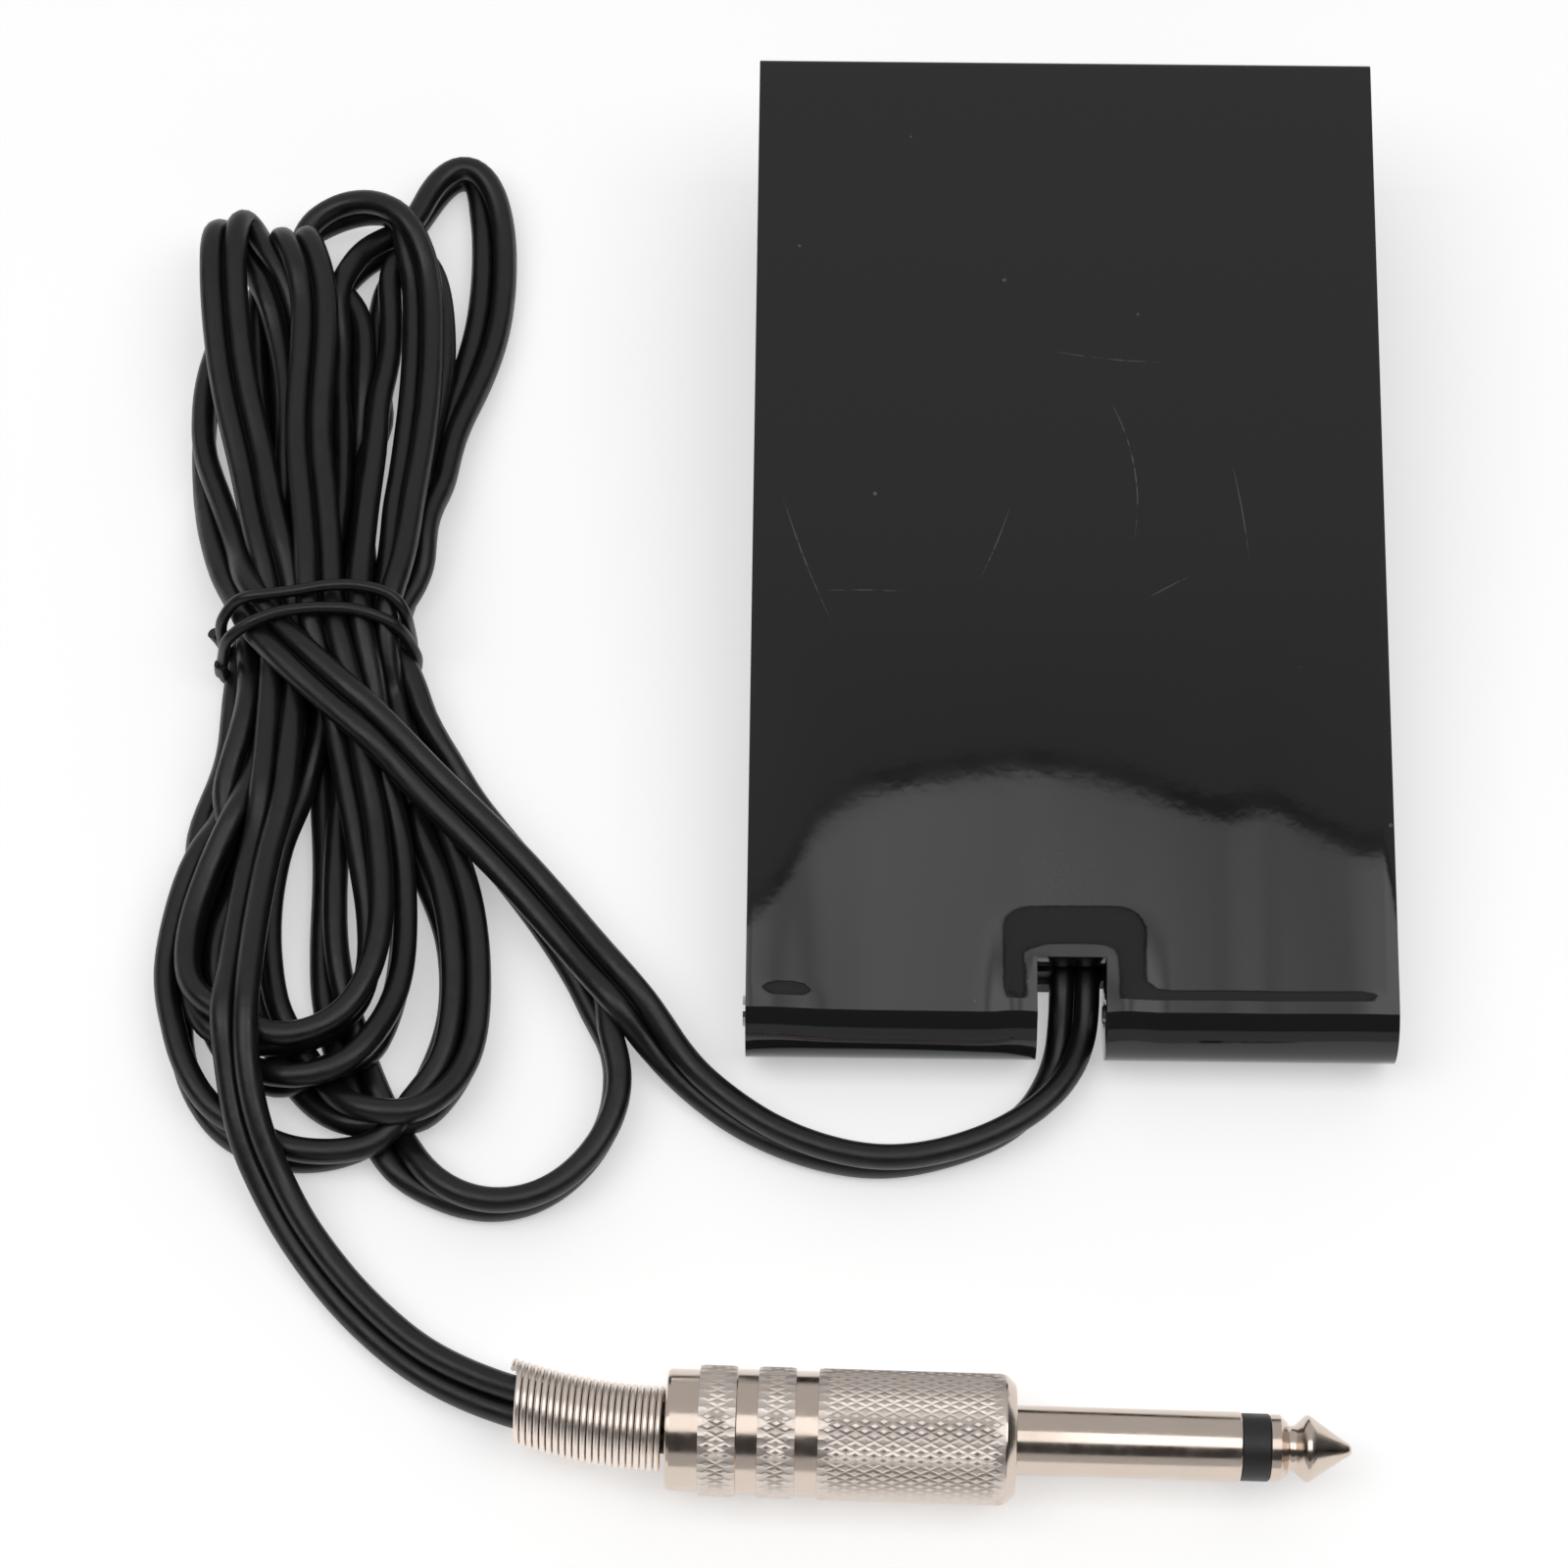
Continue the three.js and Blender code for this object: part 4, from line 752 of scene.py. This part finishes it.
def soft_box(x, y, low_x, high_x, low_y, high_y, corner, softness):
    """1 inside a rounded rectangle on the plan, falling smoothly to 0 across its edges."""
    short_x = np.maximum(corner - np.minimum(x - low_x, high_x - x), 0)
    short_y = np.maximum(corner - np.minimum(y - low_y, high_y - y), 0)
    share = np.clip((corner - np.hypot(short_x, short_y)) / softness, 0, 1)
    return share * share * (3 - 2 * share)


def warp_field():
    """The treadle's warp, in millimetres, as a function of places on the plan."""
    xs = np.arange(-WARP_HALF_X, WARP_HALF_X + WARP_STEP, WARP_STEP)
    ys = np.arange(-WARP_HALF_Y, WARP_HALF_Y + WARP_STEP, WARP_STEP)
    x, y = np.meshgrid(xs, ys, indexing="ij")
    across = np.interp(x, *zip(*WARP_SLOPES))
    along = np.interp(y, *zip(*WARP_REACH))
    sunk = np.minimum.reduce([slope * soft_box(x, y, *place) for slope, place in SINKS])
    sunk *= 1 - soft_box(x, y, *NOTCH_RIM)
    slopes = (across * along + sunk) / 1000
    heights = np.cumsum(slopes[:, ::-1], axis=1)[:, ::-1] * -WARP_STEP

    def at(px, py):
        i = np.clip((px - xs[0]) / WARP_STEP, 0, len(xs) - 1.001)
        j = np.clip((py - ys[0]) / WARP_STEP, 0, len(ys) - 1.001)
        a, b = i.astype(int), j.astype(int)
        u, v = i - a, j - b
        low = heights[a, b] * (1 - v) + heights[a, b + 1] * v
        high = heights[a + 1, b] * (1 - v) + heights[a + 1, b + 1] * v
        return low * (1 - u) + high * u

    return at


def cut_grid(shape, axis, places):
    """Cuts every face at these places along an axis, so that the mesh can bend there."""
    normal = Vector(np.eye(3)[axis])
    for place in places:
        at = normal * (place * MM)
        geometry = [*shape.verts, *shape.edges, *shape.faces]
        bmesh.ops.bisect_plane(shape, geom=geometry, dist=1e-6, plane_co=at, plane_no=normal)


WELD_GAP = 0.01
FLAT_WITHIN = math.radians(1.5)  # faces this close to level with each other are joined before the rounding
SHARP_FROM = math.radians(35)  # edges that turn more than this are rounded


def round_edges(node, width):
    """Rounds a CAD node's sharp edges without moving its faces."""
    weld = node.modifiers.new("weld", "WELD")
    weld.merge_threshold = WELD_GAP * MM
    flatten = node.modifiers.new("flatten", "DECIMATE")
    flatten.decimate_type = "DISSOLVE"
    flatten.angle_limit = FLAT_WITHIN
    bevel = node.modifiers.new("bevel", "BEVEL")
    bevel.width = width * MM
    bevel.segments = 3
    bevel.limit_method = "ANGLE"
    bevel.angle_limit = SHARP_FROM


def soften(node, width):
    """Rounds a CAD node's sharp edges and keeps its flat faces looking flat."""
    round_edges(node, width)
    weighted = node.modifiers.new("weighted", "WEIGHTED_NORMAL")
    weighted.keep_sharp = True
    weighted.weight = 100
    for polygon in node.data.polygons:
        polygon.use_smooth = True


def add_treadle():
    """The treadle with soft edges and the slight warp of a moulded plate."""
    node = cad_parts["treadle"]
    round_edges(node, TREADLE_EDGE)
    bpy.context.view_layer.update()
    solid = node.evaluated_get(bpy.context.evaluated_depsgraph_get())
    mesh = bpy.data.meshes.new_from_object(solid)
    node.modifiers.clear()
    shape = bmesh.new()
    shape.from_mesh(mesh)
    for axis, first, end, step in TREADLE_CUTS:
        cut_grid(shape, axis, np.arange(first, end, step))
    warp = warp_field()
    x, y, z = np.array([v.co for v in shape.verts]).T / MM
    level = (z - HINGE_Z) * math.cos(PLATE_SLOPE) - (y - HINGE_Y) * math.sin(PLATE_SLOPE)
    share = np.clip((level - WARP_FROM) / (WARP_FULL - WARP_FROM), 0, 1)
    for vertex, rise in zip(shape.verts, warp(x, y) * share):
        vertex.co.z += rise * MM
    shape.to_mesh(mesh)
    shape.free()
    mesh.name = "treadle_plate"
    piece = bpy.data.objects.new("treadle_plate", mesh)
    bpy.context.scene.collection.objects.link(piece)
    return sharpen(piece, 50)


# ---- Finishes ----


def calculate(tree, operation, *values):
    """The result of a math node on outputs or plain numbers."""
    node = tree.nodes.new("ShaderNodeMath")
    node.operation = operation
    for node_input, value in zip(node.inputs, values):
        if isinstance(value, (int, float)):
            node_input.default_value = value
        else:
            tree.links.new(value, node_input)
    return node.outputs[0]


def grey_ramp(tree, value, stops):
    """A grey that follows a value from 0 to 1 through these (place, brightness) stops."""
    node = tree.nodes.new("ShaderNodeValToRGB")
    elements = node.color_ramp.elements
    for i, (place, brightness) in enumerate(stops):
        element = elements[i] if i < len(elements) else elements.new(1)
        element.position = place
        element.color = (brightness, brightness, brightness, 1)
    tree.links.new(value, node.inputs[0])
    return node.outputs["Color"]


def map_range(tree, value, low, high, to_low, to_high):
    """A value drawn from low and high to to_low and to_high, and held beyond them."""
    node = tree.nodes.new("ShaderNodeMapRange")
    settings = {"From Min": low, "From Max": high, "To Min": to_low, "To Max": to_high}
    for name, number in settings.items():
        node.inputs[name].default_value = number
    tree.links.new(value, node.inputs["Value"])
    return node.outputs["Result"]


class Finish:
    """A principled material, with short ways to drive it from procedural textures."""

    def __init__(self, name, colour=(0.8, 0.8, 0.8), roughness=0.5, metallic=0, specular=0.5):
        self.material = bpy.data.materials.new(name)
        self.material.use_nodes = True
        self.tree = self.material.node_tree
        self.shader = self.tree.nodes["Principled BSDF"]
        self.shader.inputs["Base Color"].default_value = (*colour, 1)
        self.shader.inputs["Roughness"].default_value = roughness
        self.shader.inputs["Metallic"].default_value = metallic
        self.shader.inputs["Specular IOR Level"].default_value = specular
        self.place = self.tree.nodes.new("ShaderNodeTexCoord").outputs["Object"]
        self.normal = None

    def link(self, output, node_input):
        self.tree.links.new(output, node_input)

    def scaled(self, size, stretch):
        """The object's coordinates in units of size millimetres, drawn out by stretch."""
        node = self.tree.nodes.new("ShaderNodeMapping")
        node.inputs["Scale"].default_value = [1 / (size * MM * s) for s in stretch]
        self.link(self.place, node.inputs["Vector"])
        return node.outputs["Vector"]

    def noise(self, size, detail=3, stretch=(1, 1, 1)):
        """Cloudy noise of about 0.3 to 0.7, with clouds of this size in millimetres."""
        node = self.tree.nodes.new("ShaderNodeTexNoise")
        node.inputs["Scale"].default_value = 1
        node.inputs["Detail"].default_value = detail
        self.link(self.scaled(size, stretch), node.inputs["Vector"])
        return node.outputs["Fac"]

    def specks(self, size, radius):
        """1 on sparse round specks and 0 between them."""
        node = self.tree.nodes.new("ShaderNodeTexVoronoi")
        node.inputs["Scale"].default_value = 1
        self.link(self.scaled(size, (1, 1, 1)), node.inputs["Vector"])
        return self.spread(node.outputs["Distance"], radius, radius * 0.6, 0, 1)

    def distance(self, centre):
        """How far a place is from this centre, both in millimetres."""
        node = self.tree.nodes.new("ShaderNodeVectorMath")
        node.operation = "DISTANCE"
        self.link(self.scaled(1, (1, 1, 1)), node.inputs[0])
        node.inputs[1].default_value = centre
        return node.outputs["Value"]

    def patch(self, centre, radius):
        """1 round this centre, falling to 0 at the radius."""
        return self.spread(self.distance(centre), radius, radius * 0.4, 0, 1)

    def scratch(self, centre, radius, middle, reach):
        """1 on a hairline arc about the centre, as far as it lies within reach of its middle."""
        arc = calculate(self.tree, "COMPARE", self.distance(centre), radius, SCRATCH_HALF_WIDTH)
        return calculate(self.tree, "MULTIPLY", arc, self.patch(middle, reach))

    def most(self, values):
        """The largest of several values."""
        result = values[0]
        for value in values[1:]:
            result = calculate(self.tree, "MAXIMUM", result, value)
        return result

    def spread(self, value, low, high, to_low, to_high):
        return map_range(self.tree, value, low, high, to_low, to_high)

    def colours(self, value, low, high):
        """Colours the material from low, where the value is 0, to high, where it is 1."""
        node = self.tree.nodes.new("ShaderNodeMix")
        node.data_type = "RGBA"
        node.inputs["A"].default_value = (*low, 1)
        node.inputs["B"].default_value = (*high, 1)
        self.link(value, node.inputs["Factor"])
        self.link(node.outputs["Result"], self.shader.inputs["Base Color"])

    def roughness(self, value, low, high):
        """Lets a noise vary the roughness from low to high."""
        self.link(self.spread(value, 0.35, 0.65, low, high), self.shader.inputs["Roughness"])

    def bump(self, height, depth):
        """Relief of this depth in millimetres, on top of what is there already."""
        node = self.tree.nodes.new("ShaderNodeBump")
        node.inputs["Distance"].default_value = depth * MM
        self.link(height, node.inputs["Height"])
        if self.normal is not None:
            self.link(self.normal, node.inputs["Normal"])
        self.normal = node.outputs["Normal"]
        self.link(self.normal, self.shader.inputs["Normal"])


def black_pvc():
    finish = Finish("black_pvc")
    cloud = finish.noise(2.2)
    finish.colours(cloud, (0.004, 0.004, 0.0045), (0.007, 0.007, 0.0075))
    finish.roughness(cloud, 0.32, 0.42)
    finish.bump(finish.noise(1.6), 0.05)
    finish.bump(finish.noise(0.16, 2), 0.008)
    return finish.material


# Fine scratches on the treadle: (centre of the arc, radius, middle of the scratch, reach)
SCRATCHES = [
    ((-16, 4, 13), 23, (6.4, 8, 13), 9),
    ((-60, 20, 13), 57, (-6.4, -1, 13), 5),
    ((40, -60, 13), 62.5, (9.6, -5.4, 13), 3.5),
    ((60, 30, 13), 92, (-26.5, -2.5, 12), 8),
    ((-20, -90, 13), 84, (-20, -6, 12), 5),
    ((-70, -10, 13), 88, (17.3, 3, 13), 6),
    ((10, 80, 13), 62, (4, 18.3, 14), 7),
]
SCRATCH_HALF_WIDTH = 0.06
SMUDGE = ((-1, -34, 8), 6)


def gloss_moulding():
    """The glossy treadle, with handling marks: a smudge, a few specks and hairline scratches."""
    finish = Finish("gloss_moulding")
    arcs = finish.most([finish.scratch(*scratch) for scratch in SCRATCHES])
    broken = finish.spread(finish.noise(1.1), 0.42, 0.5, 0.1, 1)
    scratches = calculate(finish.tree, "MULTIPLY", arcs, broken)
    grain = finish.spread(finish.noise(0.35, 4), 0.45, 0.6, 0, 0.12)
    smudge = calculate(finish.tree, "MULTIPLY", finish.patch(*SMUDGE), grain)
    marks = finish.most([scratches, finish.specks(7, 0.035), smudge])
    finish.colours(marks, (0.013, 0.013, 0.014), (0.1, 0.1, 0.1))
    finish.roughness(finish.noise(9), 0.03, 0.05)
    finish.bump(finish.noise(1.4, 2), 0.0012)
    return finish.material


def matt_moulding():
    finish = Finish("matt_moulding", (0.016, 0.016, 0.017))
    finish.roughness(finish.noise(3), 0.4, 0.52)
    finish.bump(finish.noise(0.25, 3), 0.012)
    return finish.material


def black_rubber():
    finish = Finish("black_rubber", roughness=0.8, specular=0.3)
    finish.colours(finish.noise(1.2), (0.014, 0.014, 0.014), (0.026, 0.025, 0.024))
    finish.bump(finish.noise(0.3), 0.02)
    return finish.material


def red_pvc():
    finish = Finish("red_pvc", roughness=0.4)
    finish.colours(finish.noise(1.5), (0.36, 0.015, 0.012), (0.46, 0.025, 0.018))
    finish.bump(finish.noise(0.2), 0.005)
    return finish.material


def nickel():
    finish = Finish("nickel", metallic=1)
    finish.colours(finish.noise(4), (0.66, 0.56, 0.48), (0.72, 0.61, 0.535))
    finish.roughness(finish.noise(1.5), 0.14, 0.22)
    finish.bump(finish.noise(0.07, 2, stretch=(1, 60, 60)), 0.0012)
    return finish.material


def knurled_nickel():
    finish = Finish("knurled_nickel", metallic=1)
    finish.colours(finish.noise(1.1), (0.69, 0.61, 0.555), (0.78, 0.7, 0.64))
    finish.roughness(finish.noise(0.5), 0.36, 0.46)
    finish.bump(finish.noise(0.18, 2), 0.01)
    return finish.material


def coiled_nickel():
    finish = Finish("coiled_nickel", metallic=1)
    finish.colours(finish.noise(2), (0.9, 0.8, 0.73), (0.95, 0.86, 0.79))
    finish.roughness(finish.noise(0.6), 0.28, 0.38)
    finish.bump(finish.noise(0.1, 2), 0.002)
    return finish.material


def steel():
    finish = Finish("steel", (0.62, 0.62, 0.63), metallic=1)
    finish.roughness(finish.noise(1.2), 0.22, 0.38)
    finish.bump(finish.noise(0.15, 2), 0.003)
    return finish.material


def brass():
    finish = Finish("brass", metallic=1)
    finish.colours(finish.noise(2), (0.66, 0.47, 0.22), (0.78, 0.6, 0.32))
    finish.roughness(finish.noise(0.8), 0.24, 0.4)
    finish.bump(finish.noise(0.12, 2, stretch=(1, 12, 1)), 0.003)
    return finish.material


def phenolic():
    finish = Finish("phenolic", roughness=0.5)
    finish.colours(finish.noise(0.6, 4), (0.2, 0.095, 0.04), (0.31, 0.16, 0.075))
    finish.bump(finish.noise(0.2), 0.01)
    return finish.material


def nylon():
    finish = Finish("nylon", roughness=0.42)
    finish.colours(finish.noise(1.5), (0.68, 0.67, 0.61), (0.76, 0.75, 0.71))
    finish.bump(finish.noise(0.3), 0.006)
    return finish.material


# ---- The stage: floor and light ----

FLOOR_SPAN = 3000
SOFTBOX_HEIGHT = 900
SOFTBOX_NEAR = -420
SOFTBOX_FAR = 132
SOFTBOX_WIDTH = 2000
SOFTBOX_RADIANCE = 1.72
FLOOR_GLOW = 0.4  # light of the paper's own, which keeps it near white
# The lamp's brightness at these distances to each side of its middle, in millimetres
SOFTBOX_SHARES = [(0, 0.84), (35, 0.74), (75, 0.5), (100, 0.46), (190, 1)]
HEM_WIDTH = 7  # the black hem along the lamp's far edge


def add_sheet(name, half_width, low_y, high_y, height, material):
    """A level sheet with this material, at this height."""
    corners = [(-half_width, low_y), (half_width, low_y), (half_width, high_y), (-half_width, high_y)]
    sheet = mesh_object(name, [(x, y, height) for x, y in corners], [(0, 1, 2, 3)])
    sheet.data.materials.append(material)


def add_floor():
    """A sheet of white paper."""
    finish = Finish("floor_paper", roughness=0.7, specular=0.2)
    finish.colours(finish.noise(60), (0.87, 0.87, 0.87), (0.89, 0.89, 0.89))
    finish.shader.inputs["Emission Color"].default_value = (1, 1, 1, 1)
    finish.shader.inputs["Emission Strength"].default_value = FLOOR_GLOW
    half = FLOOR_SPAN / 2
    add_sheet("floor", half, -half, half, 0, finish.material)


def add_softbox():
    """The lamp over the pedal. The plate reflects its far part, which is dimmer near the middle."""
    depth = SOFTBOX_FAR - SOFTBOX_NEAR
    data = bpy.data.lights.new("softbox", "AREA")
    data.shape = "RECTANGLE"
    data.size = SOFTBOX_WIDTH * MM
    data.size_y = depth * MM
    data.energy = SOFTBOX_RADIANCE * math.pi * data.size * data.size_y
    data.use_nodes = True
    tree = data.node_tree
    parts = tree.nodes.new("ShaderNodeSeparateXYZ")
    tree.links.new(tree.nodes.new("ShaderNodeNewGeometry").outputs["Parametric"], parts.inputs[0])
    aside = calculate(tree, "ABSOLUTE", calculate(tree, "SUBTRACT", parts.outputs["X"], 0.5))
    shares = grey_ramp(tree, aside, [(place / SOFTBOX_WIDTH, share) for place, share in SOFTBOX_SHARES])
    tree.links.new(shares, tree.nodes["Emission"].inputs["Strength"])
    softbox = bpy.data.objects.new("softbox", data)
    softbox.location = (0, (SOFTBOX_FAR + SOFTBOX_NEAR) / 2 * MM, SOFTBOX_HEIGHT * MM)
    bpy.context.scene.collection.objects.link(softbox)


def add_hem():
    """The lamp's black hem, which the plate reflects as a dark band."""
    cloth = Finish("hem_cloth", (0.03, 0.03, 0.03), 0.9, specular=0).material
    add_sheet("hem", SOFTBOX_WIDTH / 2, SOFTBOX_FAR, SOFTBOX_FAR + HEM_WIDTH, SOFTBOX_HEIGHT, cloth)


# The room's brightness from the near horizon (0) over the top (90) to the far horizon (180)
ROOM = [(0, 0.5), (27, 0.48), (32, 0.05), (66, 0.05), (72, 0.3), (97, 0.3), (100.5, 0.32), (104, 0.46),
        (110, 0.54), (177, 0.54), (180, 0.3)]
# The room dims to its sides: (share of the way to a side from, to, brightness from, to)
ROOM_SIDES = (0.72, 0.93, 1, 0.12)


def add_room():
    """The room round the table, which the metal and the plate reflect."""
    world = bpy.data.worlds.new("room")
    bpy.context.scene.world = world
    world.use_nodes = True
    tree = world.node_tree
    nodes, links = tree.nodes, tree.links
    direction = nodes.new("ShaderNodeTexCoord").outputs["Generated"]
    parts = nodes.new("ShaderNodeSeparateXYZ")
    links.new(direction, parts.inputs[0])
    toward = calculate(tree, "MULTIPLY", parts.outputs["Y"], -1)
    angle = calculate(tree, "ARCTAN2", parts.outputs["Z"], toward)
    share = calculate(tree, "DIVIDE", angle, math.pi)
    brightness = grey_ramp(tree, share, [(degrees / 180, grey) for degrees, grey in ROOM])
    aside = calculate(tree, "ABSOLUTE", parts.outputs["X"])
    links.new(brightness, nodes["Background"].inputs["Color"])
    links.new(map_range(tree, aside, *ROOM_SIDES), nodes["Background"].inputs["Strength"])


# ---- Putting it together ----

# The finish of each material slot in the record
FINISHES = {
    "black_moulding": matt_moulding(),
    "black_rubber": black_rubber(),
    "black_pvc": black_pvc(),
    "red_pvc": red_pvc(),
    "nickel": nickel(),
    "steel": steel(),
    "brass": brass(),
    "phenolic": phenolic(),
    "nylon": nylon(),
}

FEET = ["foot_front_left", "foot_front_right", "foot_rear_left", "foot_rear_right"]
STOPS = ["stop_bumper_left", "stop_bumper_right"]
LEAVES = ["fixed_contact_leaf", "moving_contact_leaf"]
# The CAD nodes that are shown as they are, by slot
SLOTS = {
    "black_moulding": ["base_tray", "cord_clamp", "plug_liner"],
    "black_rubber": [*FEET, *STOPS],
    "black_pvc": ["inner_wire_sleeve", "plug_wire_sleeve"],
    "red_pvc": ["inner_wire_tip", "plug_wire_tip"],
    "nickel": ["plug_tip_lug", "plug_sleeve_lug", "fixed_contact_rivet", "moving_contact_rivet"],
    "steel": [
        "hinge_pin_left", "hinge_pin_right", "contact_screw_1", "contact_screw_2",
        "clamp_screw_left", "clamp_screw_right", "contact_clamp_plate",
    ],
    "brass": LEAVES,
    "phenolic": ["contact_spacer", "plug_rear_insulator"],
    "nylon": ["plug_core_tube"],
}
# CAD nodes whose edges are softened, and by how many millimetres
EDGES = {
    "base_tray": 0.4, "cord_clamp": 0.25, "contact_spacer": 0.2, "contact_clamp_plate": 0.12,
    **dict.fromkeys(LEAVES, 0.05), **dict.fromkeys(STOPS, 0.25), **dict.fromkeys(FEET, 0.3),
}


def give(piece, slot, material=None):
    """Gives a piece the slot's finish, or a material of its own.

    Clearing would also reset which faces take a second material, so only what is there is cleared.
    """
    if piece.data.materials:
        piece.data.materials.clear()
    piece.data.materials.append(material or FINISHES[slot])
    return piece


def stand_in(piece, slot, *nodes, body="base", material=None):
    """The piece is shown in place of these CAD nodes and moves with their body."""
    give(piece, slot, material)
    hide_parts(*nodes)
    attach(piece, body)
    return piece


add_floor()
add_softbox()
add_hem()
add_room()
bpy.context.scene.view_settings.view_transform = "Standard"

for slot_name, node_names in SLOTS.items():
    for node_name in node_names:
        give(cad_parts[node_name], slot_name)
stand_in(add_treadle(), "black_moulding", "treadle", body="treadle", material=gloss_moulding())
for node_name, edge in EDGES.items():
    soften(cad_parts[node_name], edge)

cord, cord_line, cord_lobes = add_cord()
stand_in(cord, "black_pvc", "cord_pedal_lead", "cord_hank", "cord_plug_lead")
tie = stand_in(add_tie(cord_lobes), "black_pvc", "cord_tie")
barrel = stand_in(add_barrel(), "nickel", "plug_barrel")
barrel.data.materials.append(knurled_nickel())
plug_pieces = [
    barrel,
    stand_in(turned("shaft", SLEEVE_PROFILE, closed=True), "nickel", "plug_sleeve"),
    stand_in(turned("insulator", INSULATOR_PROFILE, closed=True), "black_moulding", "plug_insulator_ring"),
    stand_in(turned("tip", TIP_PROFILE), "nickel", "plug_tip"),
    stand_in(add_relief(), "nickel", "plug_spring", material=coiled_nickel()),
]
return_coil = stand_in(add_return_spring(), "steel", "return_spring")
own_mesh(return_coil)
